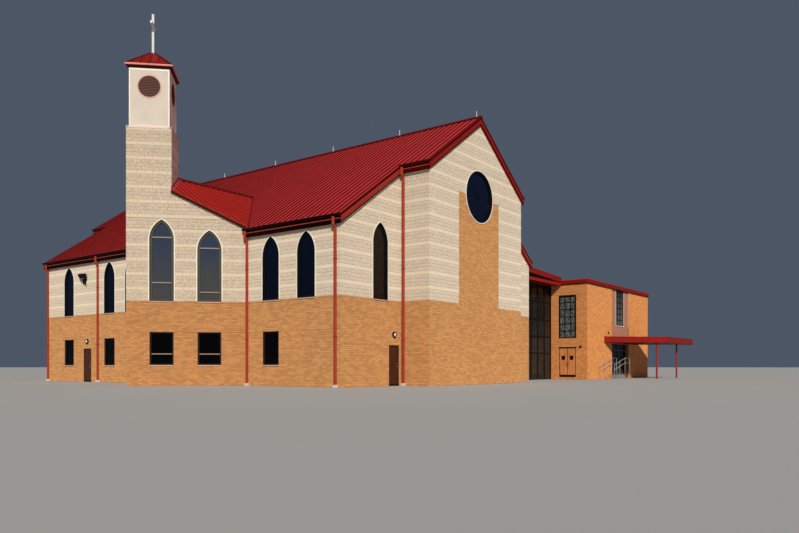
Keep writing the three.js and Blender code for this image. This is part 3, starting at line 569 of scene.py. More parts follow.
def toned_metal(name, tones):
    """Painted sheet metal in several reds, chosen by each face's tone, chalked and unevenly glossy."""
    made = Finish(name, 0.38, Specular_IOR_Level=0.08)
    cloud = made.noise(0.9, 4.0, 0.6)
    made.paint(cloud, (0.0, 0.15, 0.3, 0.7), made.ramp(made.tone(), tones), shade(tones[0][1], 0.6))
    made.put("Roughness", made.between(cloud, 0.46, 0.32, 0.3, 0.7))
    return made.bump(made.noise(0.4, 2.0, 0.5), 0.003, 0.25).material


def toned_trim(name, low, high):
    """Painted trim from a pinkish to a near-white tone."""
    made = Finish(name, 0.5)
    base = made.ramp(made.tone(), [(0.0, low), (1.0, high)])
    made.paint(made.noise(0.5, 3.0, 0.6), (0.0, 0.15, 0.3, 0.7), base, shade(low, 0.6))
    return made.bump(made.noise(0.05, 3.0), 0.001, 0.4).material


def glass_finish(name, low_colour, high_colour, low, high):
    """Glass seen from outside, coloured with its tint, the dark inside behind it and painted reflection: one
    colour at the foot, another at the top, and slight rolling.
    """
    made = Finish(name, 0.06, Specular_IOR_Level=0.15)
    rise = made.between(made.height(), 0.0, 1.0, low * METRE, high * METRE)
    drift = made.between(made.noise(1.1, 3.0, 0.55), -0.25, 0.25, 0.3, 0.7)
    wavy = made.node("ShaderNodeMath", {0: rise, 1: drift}, operation="ADD")
    # The change from the foot to the top is painted reflection.
    made.put("Base Color", made.ramp(wavy.outputs[0], [(0.0, low_colour), (1.0, high_colour)]))
    made.put("Roughness", made.between(made.noise(0.3, 2.0), 0.04, 0.12, 0.3, 0.7))
    return made.bump(made.noise(1.2, 1.0, 0.4), 0.01, 0.25).material


def pane_finish(name, dark, pale):
    """Leaded panes: obscured glass, each light with its own grey, faintly rippled."""
    made = Finish(name, 0.25)
    ripple = made.noise(0.05, 3.0, 0.6)
    made.paint(ripple, (0.0, 0.4, 0.3, 0.7), made.ramp(made.tone(), [(0.0, dark), (1.0, pale)]), dark)
    return made.bump(ripple, 0.004, 0.6).material


def wood_finish(name, colour):
    """Stained boards: long upright grain, darker in the growth lines, under satin varnish."""
    made = Finish(name, 0.42)
    grain = made.noise(0.035, 5.0, 0.7, (1, 1, 0.06))
    rings = made.noise(0.22, 3.0, 0.6, (1, 1, 0.15))
    made.paint(grain, (0.45, 0.0, 0.3, 0.6), made.mottled(rings, colour, 0.78, 1.15), shade(colour, 0.5))
    return made.bump(grain, 0.002).material


def lens_finish(name, colour, glow):
    """Frosted plastic lens of a lamp, faintly lit."""
    made = Finish(name, 0.35, Emission_Color=(*colour, 1), Emission_Strength=glow)
    made.paint(made.noise(0.02, 2.0), (0.0, 0.3), colour, shade(colour, 0.85))
    return made.material


# Finishes by name, with colours from the photograph's lit surfaces
# Reds of the painted trim by tone: the near-black red at the low end is painted shade for boards, gutters and
# recesses under edges.
RED_TONES = [
    (0.0, srgb(18, 0, 0)), (0.35, srgb(92, 14, 12)), (0.72, srgb(158, 34, 26)), (1.0, srgb(180, 68, 50)),
]
FINISHES = {
    # Colour, spread of the tones, speckle, grain, relief and diffuse roughness
    "brick": (unit_finish, srgb(219, 159, 101), 0.16, 0.45, 0.012, 0.003, 0.65),
    "annex_brick": (unit_finish, srgb(226, 152, 88), 0.15, 0.35, 0.012, 0.003, 1.0),
    "block": (unit_finish, srgb(235, 219, 196), 0.03, 0.85, 0.06, 0.014),
    "band": (unit_finish, srgb(240, 224, 201), 0.015, 0.25, 0.02, 0.002),
    # Colours
    "mortar": (mortar_finish, srgb(150, 108, 74), srgb(228, 211, 187)),
    "stucco": (stucco_finish, srgb(236, 226, 212)),
    "mauve_panel": (stucco_finish, srgb(174, 121, 97)),
    "cast_sill": (cast_finish, srgb(214, 172, 150)),
    "collar": (cast_finish, srgb(222, 214, 202)),
    "concrete": (cast_finish, srgb(150, 146, 138)),
    "wood_door": (wood_finish, srgb(226, 139, 82)),
    "red_metal": (toned_metal, RED_TONES),
    "tower_trim": (toned_trim, srgb(216, 156, 140), srgb(252, 246, 236)),
    "leaded_panes": (pane_finish, srgb(5, 7, 10), srgb(120, 124, 126)),
    # Colour, roughness and waves, and how far the streaks are drawn out
    "white_trim": (metal_finish, srgb(252, 246, 234), 0.5, 0.2),
    "roof_metal": (metal_finish, srgb(200, 53, 52), 0.42, 0.4),
    # The seams' reds, darker than the roofs', are painted shade beside the seams.
    "seam_metal": (metal_finish, srgb(84, 8, 8), 0.45, 0.2),
    "bay_roof_metal": (metal_finish, srgb(180, 40, 28), 0.42, 0.4),
    "bay_seam_metal": (metal_finish, srgb(150, 28, 20), 0.45, 0.2),
    "lining_metal": (metal_finish, srgb(172, 62, 74), 0.42, 0.3),
    # A pale pink painted highlight along the tower roof's eave.
    "pink_metal": (metal_finish, srgb(244, 160, 142), 0.45, 0.2),
    "white_metal": (metal_finish, srgb(228, 228, 226), 0.35, 0.2),
    "trim_metal": (metal_finish, srgb(146, 22, 10), 0.40, 0.3),
    "dark_metal": (metal_finish, srgb(16, 14, 14), 0.45, 0.2),
    "dull_steel": (metal_finish, srgb(92, 90, 88), 0.4, 0.15),
    "steel": (metal_finish, srgb(170, 168, 165), 0.35, 0.15),
    "brown_lining": (metal_finish, srgb(66, 44, 37), 0.45, 0.15),
    "bronze": (metal_finish, srgb(84, 76, 56), 0.45, 0.15),
    "tan_bar": (metal_finish, srgb(156, 134, 124), 0.45, 0.15),
    "brown_frame": (metal_finish, srgb(26, 17, 15), 0.45, 0.15),
    "brown_door": (metal_finish, srgb(78, 44, 27), 0.5, 0.2, (1, 1, 0.2)),
    "lead": (metal_finish, srgb(176, 178, 176), 0.5, 0.1),
    "louvre": (metal_finish, srgb(140, 82, 72), 0.5, 0.15),
    # Colours at the foot and at the top, and their real heights; the colours hold painted reflection and the
    # dark inside as well as the tint
    "dark_glass": (glass_finish, srgb(3, 2, 2), srgb(6, 4, 5), 0, 9),
    "brown_glass": (glass_finish, srgb(28, 17, 11), srgb(34, 24, 20), 4.7, 9.0),
    "annex_glass": (glass_finish, srgb(104, 106, 104), srgb(46, 44, 42), 4.6, 8.4),
    "navy_glass": (glass_finish, srgb(8, 13, 28), srgb(8, 17, 42), 4.7, 12.5),
    "bay_glass": (glass_finish, srgb(74, 74, 72), srgb(52, 64, 84), 4.7, 8.2),
    "link_glass": (glass_finish, srgb(50, 48, 46), srgb(30, 22, 20), 3.0, 7.0),
    # Colour and glow
    "lens": (lens_finish, srgb(230, 226, 214), 0.05),
}
made_finishes = {}


def finish_for(name):
    """The named material, made the first time that it is asked for."""
    if name not in made_finishes:
        maker, *values = FINISHES[name]
        made_finishes[name] = maker(name, *values)
    return made_finishes[name]


# Masonry

UNIT_BACK = -0.006
BAND_EVERY = 4
SHALLOWEST = 0.35
ROUND_GAP = 0.08
TRIM_LAP = 0.85
SLOPE_TUCK = 0.12
SIDE_TUCK = 0.05
SAME_JOINT = 0.012
LEAST_CUT = 0.006
SHORTEST_STRETCH = 0.04
SHORTEST_UNIT = 0.004
INNER_FACE_TUCK = 0.5
THRESHOLD = 0.1


def rectangular_hole(left, right, low, high):
    """A gap with upright sides."""
    centre, half = (left + right) / 2, (right - left) / 2
    return {"low": low, "high": high, "centre": centre, "half": lambda z: np.full_like(z, half)}


def arched_hole(centre, width, sill, top, margin):
    """A gap shaped as a pointed arch: half its width is radius times the cosine less half the opening."""
    side, spring, radius = width / 2, spring_height(width, top), width + margin

    def half(z):
        rise = np.maximum(z - spring, 0)
        return np.sqrt(np.maximum(radius**2 - rise**2, side**2)) - side

    return {"low": sill, "high": spring + math.sqrt(radius**2 - side**2), "centre": centre, "half": half}


def round_hole(height, radius, low=None):
    """A circular gap on the middle of a wall, or its part above low."""
    bottom = height - radius if low is None else low

    def half(z):
        return np.sqrt(np.maximum(radius**2 - (z - height) ** 2, 0))

    return {"low": bottom, "high": height + radius, "centre": 0.0, "half": half}


def course_rows(low, high, datum, course, holes):
    """Heights of the bed joints between low and high, as (bottom, top, course number).

    Joints lie at the datum plus whole courses, and a square gap's edge adds a joint of its own.
    """
    first, last = math.floor((low - datum) / course + 1e-6), math.ceil((high - datum) / course - 1e-6)
    lines = np.clip(datum + course * np.arange(first, last + 1), low, high)
    cuts = [z for hole in holes for z in (hole["low"], hole["high"]) if low < z < high]
    cuts = [z for z in cuts if np.abs(lines - z).min() > SAME_JOINT]
    lines = np.unique(np.round(np.concatenate([lines, cuts]), 4))
    numbers = np.floor(((lines[:-1] + lines[1:]) / 2 - datum) / course).astype(int)
    return list(zip(lines[:-1], lines[1:], numbers))


def lay_units(bounds, holes, rows, length, joint):
    """Fills each row with units in running bond and returns their corners (n, 4, 2).

    bounds gives the wall's left and right edge at a height. Head joints lie every length, moved by half
    a length in odd courses. A unit beside a gap or a slope takes its edge, so its end may slant.
    """
    found = []
    for low, high, number in rows:
        z = np.array([low, high])
        left, right = bounds(z)
        edges = [left]
        for hole in sorted(holes, key=lambda each: each["centre"]):
            if min(high, hole["high"]) - max(low, hole["low"]) > LEAST_CUT:
                half = hole["half"](np.clip(z, hole["low"], hole["high"]))
                edges += [hole["centre"] - half, hole["centre"] + half]
        edges.append(right)
        for start, end in zip(edges[::2], edges[1::2]):
            end = np.maximum(start, end)
            if (end - start).max() < SHORTEST_STRETCH:
                continue
            shift = (number % 2) * length / 2
            first = math.ceil((start.max() + length / 4 - shift) / length)
            last = math.floor((end.min() - length / 4 - shift) / length)
            joints = np.arange(first, last + 1) * length + shift
            joints = np.column_stack([joints, joints])
            lefts = np.vstack([start, joints]) + joint / 2
            rights = np.maximum(np.vstack([joints, end]) - joint / 2, lefts + SHORTEST_UNIT)
            bottom, top = low + joint / 2, high - joint / 2
            corners = np.empty((len(lefts), 4, 2))
            corners[:, 0, 0], corners[:, 1, 0] = lefts[:, 0], rights[:, 0]
            corners[:, 2, 0], corners[:, 3, 0] = rights[:, 1], lefts[:, 1]
            corners[:, :2, 1], corners[:, 2:, 1] = bottom, top
            found.append(corners)
    return np.concatenate(found) if found else np.empty((0, 4, 2))


def flat_units(corners, back, front):
    """Units with a plain face: each set of corners made solid from back to front."""
    points = np.empty((len(corners), 8, 3))
    points[:, :4, :2] = points[:, 4:, :2] = corners
    points[:, :4, 2], points[:, 4:, 2] = back, front
    return blocks_from(points)


def split_units(corners, back, shallow, deep, chance):
    """Units with a rock face: a four by three grid across each front, every point at its own depth.

    A point is the two-way mean of the unit's corners. Its depth is drawn from the shallow half of the
    relief at the unit's edge and from the deep half at the two inner points, which also move sideways.
    Points 0 to 11 of a unit are the grid, row by row from the lower left, and 12 to 15 its rear corners.
    """
    count = len(corners)
    across = np.array([0, 0.32, 0.68, 1])[None, None, :, None] + np.zeros((count, 3, 4, 1))
    up = np.array([0, 0.5, 1])[None, :, None, None] + np.zeros((count, 3, 4, 1))
    across[:, 1, 1:3, 0] += chance.uniform(-0.12, 0.12, (count, 2))
    up[:, 1, 1:3, 0] += chance.uniform(-0.22, 0.22, (count, 2))
    lower = corners[:, None, None, 0] * (1 - across) + corners[:, None, None, 1] * across
    upper = corners[:, None, None, 3] * (1 - across) + corners[:, None, None, 2] * across
    depth = chance.uniform(shallow, (shallow + deep) / 2, (count, 3, 4, 1))
    depth[:, 1, 1:3] += (deep - shallow) / 2
    front = np.concatenate([lower * (1 - up) + upper * up, depth], -1).reshape(count, 12, 3)
    rear = np.concatenate([corners, np.full((count, 4, 1), back)], -1)
    points = np.concatenate([front, rear], 1).reshape(-1, 3)
    grid = np.arange(12).reshape(3, 4)
    quads = np.stack([grid[:-1, :-1], grid[:-1, 1:], grid[1:, 1:], grid[1:, :-1]], -1).reshape(-1, 4)
    quads = np.vstack([quads, [12, 15, 14, 13]])
    ends = np.array([[13, 14, 11, 7, 3], [15, 12, 0, 4, 8]])
    beds = np.array([[12, 13, 3, 2, 1, 0], [14, 15, 8, 9, 10, 11]])
    offset = 16 * np.arange(count)[:, None, None]
    return points, [(faces[None] + offset).reshape(-1, faces.shape[1]) for faces in (quads, ends, beds)]


class Mason:
    """Lays bricks, rock-faced blocks and smooth band blocks on walls, and keeps them by kind."""

    def __init__(self, settings):
        self.settings = settings
        self.chance = np.random.default_rng(SEED)
        self.kinds = {"bricks": Surfaces(), "blocks": Surfaces(), "bands": Surfaces()}

    def lay_flat(self, kind, wall, bounds, holes, rows, length, relief):
        """Lays plain units, each with one random tone for all its faces."""
        corners = lay_units(bounds, holes, rows, length, self.settings.joint)
        tones = np.repeat(self.chance.random(len(corners)), len(BOX_FACES))
        self.kinds[kind].hang(wall, flat_units(corners, UNIT_BACK, relief), tones)

    def bricks(self, wall, bounds, holes, low, high):
        """Running bond brickwork between two heights, its joints counted from the brick line."""
        settings = self.settings
        rows = course_rows(low, high, BRICK_LINE, settings.brick_course, holes)
        self.lay_flat("bricks", wall, bounds, holes, rows, settings.brick_length, settings.brick_relief)

    def blocks(self, wall, bounds, holes, high, low=BRICK_LINE):
        """Blockwork from a height up: three rock-faced courses, then a smooth one, over and over."""
        settings, relief = self.settings, self.settings.block_relief
        rows = course_rows(low, high, BRICK_LINE, settings.block_course, holes)
        rough = [row for row in rows if row[2] % BAND_EVERY != BAND_EVERY - 1]
        smooth = [row for row in rows if row[2] % BAND_EVERY == BAND_EVERY - 1]
        corners = lay_units(bounds, holes, rough, settings.block_length, settings.joint)
        shape = split_units(corners, UNIT_BACK, SHALLOWEST * relief, relief, self.chance)
        tones = self.chance.random(len(corners))
        per_unit = [len(faces) // max(1, len(corners)) for faces in shape[1]]
        self.kinds["blocks"].hang(wall, shape, [np.repeat(tones, each) for each in per_unit])
        self.lay_flat("bands", wall, bounds, holes, smooth, settings.block_length, settings.band_relief)

    def finish(self, prefix, finishes, slot):
        """Makes one piece of each kind that was laid."""
        for kind, surfaces in self.kinds.items():
            if surfaces.count:
                surfaces.piece(f"{prefix}_{kind}", finishes[kind], slot)


def straight(left, right):
    """Bounds of a wall with upright ends."""
    return lambda z: (np.full_like(z, left), np.full_like(z, right))


def under_roof(left, right, crown=RIDGE - ROOF_DEPTH):
    """Bounds of a wall that reaches up into the roof: no farther from the ridge than the slope allows."""

    def bounds(z):
        reach = np.maximum((crown - z) / PITCH + SLOPE_TUCK, 0)
        return np.clip(left, -reach, reach), np.clip(right, -reach, reach)

    return bounds


def arch_holes(places, width, top, lining=LINING):
    """Gaps for pointed windows, which end under the windows' pale bands."""
    margin = lining + TRIM * TRIM_LAP
    return [arched_hole(place, width, BRICK_LINE - SILL, top, margin) for place in places]


def lower_holes(places, width=LOWER["width"]):
    """Gaps for the rectangular windows with their linings and sills."""
    half, sill, top = width / 2 + LOWER_LINING, LOWER["sill"] - LOWER_SILL, LOWER["top"] + LOWER_LINING
    return [rectangular_hole(place - half, place + half, sill, top) for place in places]


def lay_end(mason, end):
    """One end of the nave, -1 or 1: the gable with its brick panel, both shoulders and both cheeks."""
    gable, shoulders = (FRONT_GABLE, FRONT_SHOULDERS) if end < 0 else (REAR_GABLE, REAR_SHOULDERS)
    top = RIDGE - ROOF_DEPTH
    cheek_top = top - PITCH * GABLE_X
    ring, height = ROUND["radius"] + ROUND_GAP, ROUND["height"]
    half, panel_top = BRICK_PANEL.values()
    mason.bricks(gable, straight(-GABLE_X, GABLE_X), [], 0, BRICK_LINE)
    mason.bricks(gable, straight(-half, half), [round_hole(height, ring)], BRICK_LINE, panel_top)
    panel = rectangular_hole(-half, half, BRICK_LINE, panel_top)
    mason.blocks(gable, under_roof(-GABLE_X, GABLE_X), [panel, round_hole(height, ring, panel_top)], top)
    place, *size = SHOULDER_LANCET.values()
    door = rectangular_hole(FRONT_DOOR["low"], FRONT_DOOR["high"], 0, FRONT_DOOR["top"])
    for sign in (-1, 1):
        left, right = sorted((sign * NAVE_X, sign * GABLE_X))
        lancet = arch_holes([sign * place], *size)
        lower = [*lancet, door] if end < 0 and sign < 0 else lancet
        mason.bricks(shoulders, straight(left, right), lower, 0, BRICK_LINE)
        mason.blocks(shoulders, under_roof(left, right), lancet, cheek_top)
    for wall, sign in ((LEFT_CHEEKS, -end), (RIGHT_CHEEKS, end)):
        left, right = sorted((sign * SHOULDER_Y, sign * GABLE_Y))
        mason.bricks(wall, straight(left, right), [], 0, BRICK_LINE)
        mason.blocks(wall, straight(left, right), [], cheek_top)


def lay_left(mason):
    """The left side wall in front of and behind the bay. Across runs towards -Y here."""
    bay = [-(BAY_Y + BAY_HALF), -(BAY_Y - BAY_HALF)]
    for left, right in ((-SHOULDER_Y, bay[0]), (bay[1], SHOULDER_Y)):
        lancets = [-y for y in LEFT_LANCETS if left < -y < right]
        lowers = [-y for y in LEFT_LOWER if left < -y < right]
        holes = arch_holes(lancets, LANCET_WIDTH, LANCET_TOP) + lower_holes(lowers)
        if left < -SIDE_DOOR["high"] < right:
            holes.append(rectangular_hole(-SIDE_DOOR["high"], -SIDE_DOOR["low"], 0, SIDE_DOOR["top"]))
        mason.bricks(LEFT_SIDE, straight(left, right), holes, 0, BRICK_LINE)
        mason.blocks(LEFT_SIDE, straight(left, right), holes, SIDE_TOP + SIDE_TUCK)


def lay_right(mason):
    """The right side wall, open at the passage into the link."""
    holes = arch_holes(RIGHT_WINDOWS, LANCET_WIDTH, LANCET_TOP) + lower_holes(RIGHT_WINDOWS)
    holes.append(rectangular_hole(PASSAGE["low"], PASSAGE["high"], 0, PASSAGE["top"]))
    whole = straight(-SHOULDER_Y, SHOULDER_Y)
    mason.bricks(RIGHT_SIDE, whole, holes, 0, BRICK_LINE)
    mason.blocks(RIGHT_SIDE, whole, holes, SIDE_TOP + SIDE_TUCK)


def lay_bay(mason):
    """The two bay walls, which rise into the tower at the tip, and the tower's two inner faces."""
    slope = BAY_PITCH / ROOT2
    crown = BAY_RIDGE - BAY_ROOF_DEPTH

    def reach(z):
        along = np.minimum((crown - z) / slope + SLOPE_TUCK, BAY_WALL)
        return np.where(z > crown - slope * TOWER, TOWER, np.maximum(along, TOWER))

    sides = (
        (BAY_FRONT, 1, lambda z: (np.zeros_like(z), reach(z))),
        (BAY_REAR, -1, lambda z: (-reach(z), np.zeros_like(z))),
    )
    for wall, sign, bounds in sides:
        holes = lower_holes([sign * window["along"] for window in BAY_WINDOWS], BAY_WINDOW_WIDTH)
        for window in BAY_WINDOWS:
            holes += arch_holes([sign * window["along"]], BAY_WINDOW_WIDTH, window["top"])
        ends = (0, BAY_WALL) if sign > 0 else (-BAY_WALL, 0)
        mason.bricks(wall, straight(*ends), holes, 0, BRICK_LINE)
        mason.blocks(wall, bounds, holes, TOWER_TOP)
    half, foot = TOWER / 2, crown - slope * TOWER
    course = mason.settings.block_course
    start = BRICK_LINE + math.floor((foot - BRICK_LINE) / course) * course
    for facing, sign in ((-45, 1), (45, -1)):

        def bounds(z, sign=sign):
            limit = np.clip((z - foot) / slope - half + INNER_FACE_TUCK, -half, half)
            return (np.full_like(z, -half), limit) if sign > 0 else (-limit, np.full_like(z, half))

        mason.blocks(tower_face(facing, half), bounds, [], TOWER_TOP, start)


def lay_annex(mason, faces):
    """The annex's brick faces, open at the doors, the leaded window and the passage."""
    top = edge("annex_left_wall", "z", 1)
    sill = ANNEX_DOOR["sill"] - THRESHOLD
    door = rectangular_hole(-ANNEX_DOOR["high"], -ANNEX_DOOR["low"], sill, ANNEX_DOOR["top"])
    leaded = rectangular_hole(-LEADED["high"], -LEADED["low"], LEADED["sill"], LEADED["top"])
    way = rectangular_hole(-PASSAGE["high"], -PASSAGE["low"], 0, PASSAGE["top"])
    spans = {
        "front": [((ANNEX_LEFT, PANEL_LEFT), []), ((PANEL_RIGHT, ANNEX_RIGHT), [])],
        "left": [((-ANNEX_REAR, -ANNEX_FRONT), [door, leaded, way])],
        "right": [((ANNEX_FRONT, ANNEX_REAR), [])],
        "rear": [((-ANNEX_RIGHT, -ANNEX_LEFT), [])],
    }
    for face in faces:
        for span, holes in spans[face]:
            mason.bricks(ANNEX_FACES[face], straight(*span), holes, 0, top)


# Windows

LINING_LAP = 0.008
SILL_BACK = -0.12
SILL_FALL = 0.02
SILL_END = 0.02
FRAME_GAP = 0.012
FRAME_BACK = -0.02
BAR_BACK = -0.015
LANCET_FRAME = 0.10
LANCET_FRONT = 0.08
LANCET_BAR = {"half": 0.035, "gap": 0.06, "front": 0.07}
SQUARE_FRAME = {"side": 0.07, "foot": 0.06, "front": 0.05}
SQUARE_BAR = {"half": 0.03, "gap": 0.06, "front": 0.04}
POST = {"half": 0.025, "gap": 0.05}
ROUND_FRAME = {"outer": -0.02, "inner": -0.09, "back": 0.005, "front": 0.06}
SPOKE = {"half": 0.014, "gap": 0.07, "front": 0.02}
PANE_INSET = 0.03
PANE_FACES = (0.005, 0.015)

# Finishes that the windows share, then those of each group
SHARED_FINISHES = {"trims": "white_trim", "sills": "cast_sill", "bars": "tan_bar"}
WINDOW_FINISHES = {
    "lancet": {"linings": "dark_metal", "frames": "dark_metal", "panes": "navy_glass"},
    "lower_window": {"linings": "brown_lining", "frames": "brown_frame", "panes": "dark_glass"},
    "bay_window": {"linings": "bronze", "frames": "bronze", "panes": "bay_glass"},
    "annex_window": {
        "sills": "white_trim", "frames": "dark_metal", "bars": "dark_metal", "panes": "annex_glass",
    },
}


def open_band(outer, inner, back, front):
    """A strip along an arch from foot to foot, with nothing across the bottom."""
    return loft(border_rings(np.roll(outer, -1, axis=0), np.roll(inner, -1, axis=0), back, front))


def sill_block(left, right, top, height, front):
    """A sill whose top falls a little towards the front."""
    section = [[top - height, SILL_BACK], [top - height, front], [top - SILL_FALL, front], [top, SILL_BACK]]
    return loft([np.column_stack([np.full(4, place), section]) for place in (left, right)])


class Glazier:
    """Gathers the trims, linings, sills, frames, bars and panes of a group of windows."""

    def __init__(self, settings):
        self.settings = settings
        self.depth = settings.pane_depth
        self.kinds = {kind: Surfaces() for kind in ("trims", "linings", "sills", "frames", "bars", "panes")}
        self.chance = np.random.default_rng(SEED)

    def put(self, kind, wall, shape):
        """Adds a shape drawn on a wall, with a random tone."""
        self.kinds[kind].hang(wall, shape, self.chance.uniform(0.3, 0.7))

    def at_pane(self, kind, wall, outline, back, front):
        """Adds an outline made solid between two distances in front of the pane's depth."""
        self.put(kind, wall, slab(outline, back - self.depth, front - self.depth))

    def lancet(self, wall, centre, width, top, bars=(), pane=True, lining=LINING):
        """A pointed window on the brick line: a dark lining of the reveal, and a pale band round it."""
        foot = BRICK_LINE
        insets = (-lining - TRIM, -lining, LINING_LAP)
        outer, middle, inner = (arch(centre, width, foot, top, inset, foot) for inset in insets)
        self.put("trims", wall, open_band(outer, middle, UNIT_BACK, self.settings.trim_relief))
        self.put("linings", wall, open_band(middle, inner, -self.depth, self.settings.lining_relief))
        reach = width / 2 + lining + 0.01
        ledge = sill_block(centre - reach, centre + reach, foot, SILL, self.settings.sill_reach)
        self.put("sills", wall, ledge)
        lines = [arch(centre, width, foot, top, inset) for inset in (FRAME_GAP, LANCET_FRAME)]
        self.put("frames", wall, border(*lines, FRAME_BACK - self.depth, LANCET_FRONT - self.depth))
        tall, gap, front = LANCET_BAR.values()
        for height in bars:
            rise = max(height - spring_height(width, top), 0)
            half = math.sqrt(width**2 - rise**2) - width / 2 - gap
            bar = rectangle(centre - half, height - tall, centre + half, height + tall)
            self.at_pane("bars", wall, bar, BAR_BACK, front)
        if pane:
            self.at_pane("panes", wall, arch(centre, width, foot, top, PANE_INSET), *PANE_FACES)

    def square(self, wall, left, right, sill, top, bars=(), posts=(), lining=LOWER_LINING):
        """A square-headed window with a dark lining, where one is asked for, and a cast sill."""
        reach = self.settings.sill_reach
        self.put("sills", wall, sill_block(left - SILL_END, right + SILL_END, sill, LOWER_SILL, reach))
        outer = rectangle(left + FRAME_GAP, sill + 0.005, right - FRAME_GAP, top - FRAME_GAP)
        if lining:
            around = rectangle(left - lining, sill + 0.004, right + lining, top + lining)
            self.put("linings", wall, border(around, outer, -self.depth, self.settings.lining_relief))
        side, foot, front = SQUARE_FRAME.values()
        inner = rectangle(left + side, sill + foot, right - side, top - side)
        self.put("frames", wall, border(outer, inner, FRAME_BACK - self.depth, front - self.depth))
        half, gap, front = SQUARE_BAR.values()
        for height in bars:
            bar = rectangle(left + gap, height - half, right - gap, height + half)
            self.at_pane("bars", wall, bar, BAR_BACK, front)
        half, foot = POST.values()
        for place in posts:
            post = rectangle(place - half, sill + foot, place + half, top - gap)
            self.at_pane("frames", wall, post, BAR_BACK, front)
        pane = rectangle(left + PANE_INSET, sill + 0.02, right - PANE_INSET, top - PANE_INSET)
        self.at_pane("panes", wall, pane, *PANE_FACES)

    def round(self, wall, height, radius, spokes):
        """A round window: a pale ring, a dark lining and frame, and thin spokes, in front of the CAD pane."""
        outer, inner, back, front = ROUND_FRAME.values()
        steps = (ROUND_LINING + TRIM, ROUND_LINING, outer, inner)
        rings = [circle(0, height, radius + step) for step in steps]
        self.put("trims", wall, border(rings[0], rings[1], -0.004, self.settings.trim_relief))
        self.put("linings", wall, border(rings[1], rings[2], -self.depth, self.settings.lining_relief))
        self.put("frames", wall, border(rings[2], rings[3], back - self.depth, front - self.depth))
        half, gap, front = SPOKE.values()
        bar = rectangle(0.0, -half, radius - gap, half)
        for angle in 2 * math.pi * np.arange(spokes) / spokes:
            turn = np.array([[math.cos(angle), math.sin(angle)], [-math.sin(angle), math.cos(angle)]])
            self.at_pane("frames", wall, bar @ turn + [0, height], 0.0, front)

    def finish(self, prefix):
        """Makes one piece of each kind that was gathered."""
        finishes = {**SHARED_FINISHES, **WINDOW_FINISHES[prefix]}
        slots = {"trims": "white_metal", "sills": "concrete", "panes": "glass"}
        for kind, surfaces in self.kinds.items():
            if surfaces.count:
                surfaces.piece(f"{prefix}_{kind}", finishes[kind], slots.get(kind, "dark_frame"))


# Roofs

SEAM_START = 0.20
BAY_SEAM_START = 0.17
CAP = {"half": 0.21, "rise": 0.085, "lip": 0.03, "sheet": 0.01, "fold": 0.03}
VALLEY_NORMAL = 3
WALL_PLATE = {"top": 0.1, "reach": 0.40}
ROD = {"end": 0.2, "foot": 0.07, "saddle": 0.04, "spike": ((0.026, 0), (0.022, 0.85), (0.008, 1))}


def ribs(starts, ends, normal, width, height, sink=0.01):
    """Straight bars on a roof from start to end points (n, 3), square to the roof's normal."""
    starts, ends = np.atleast_2d(starts).astype(float), np.atleast_2d(ends).astype(float)
    normal = unit(np.asarray(normal, float))
    side = np.cross(normal, unit(ends - starts)) * width / 2
    corners = (starts - side, ends - side, ends + side, starts + side)
    points = [corner + level * normal for level in (-sink, height) for corner in corners]
    return blocks_from(np.stack(points, 1))


def roof_height(across, crown=RIDGE, pitch=PITCH):
    """Height of a roof's top surface at a distance from its ridge."""
    return crown - pitch * np.abs(across)


def bay_points(x, dy, sign):
    """Points on top of the bay's roof, from distances to the left of the nave's ridge and to its own."""
    return np.column_stack([-x, BAY_Y + sign * dy, roof_height(dy, BAY_RIDGE, BAY_PITCH)])


def bay_eave(overhang):
    """How far to the left the bay's two eaves would meet."""
    return -BAY_TIP + overhang * ROOT2


def bay_slope(sign, overhang=OVERHANG):
    """Top corners of one slope of the bay's roof: the ridge's two ends, then the eave's two ends.

    The eave's low end is where the main roof's height equals the bay roof's on the eave's line.
    """
    eave = bay_eave(overhang)
    foot = (eave - VALLEY_X) / (1 + BAY_PITCH / PITCH)
    x = np.array([VALLEY_X, TOWER_CORNER, (eave + TOWER_CORNER) / 2, eave - foot])
    return bay_points(x, np.array([0, 0, (eave - TOWER_CORNER) / 2, foot]), sign)


def build_bay_roof(overhang, top, bottom):
    """Both slopes of the bay's roof as solids between two drops below the top surface."""
    roof = Surfaces()
    for sign in (-1, 1):
        plan = bay_slope(sign, overhang)
        roof.add(loft([plan - [0, 0, drop] for drop in (top, bottom)]))
    return roof


def sheared(low_x, high_x, low_y, high_y, drop_high, drop_low):
    """A board that follows the main roof's slope, between two drops below its top surface."""
    points, groups = upright_box([low_x, low_y, -drop_low], [high_x, high_y, -drop_high])
    points[:, 2] += roof_height(points[:, 0])
    return points, groups


def cap_section():
    """Section of a folded ridge cap, as distance from the ridge and height over it."""
    half, rise, lip, sheet, fold = CAP.values()
    side, edge_low = rise - PITCH * half, rise - PITCH * half - lip
    outer = [[half, edge_low], [half, side], [0, rise], [-half, side], [-half, edge_low]]
    return np.array([*outer, [sheet - half, edge_low], [0, rise - fold], [half - sheet, edge_low]])


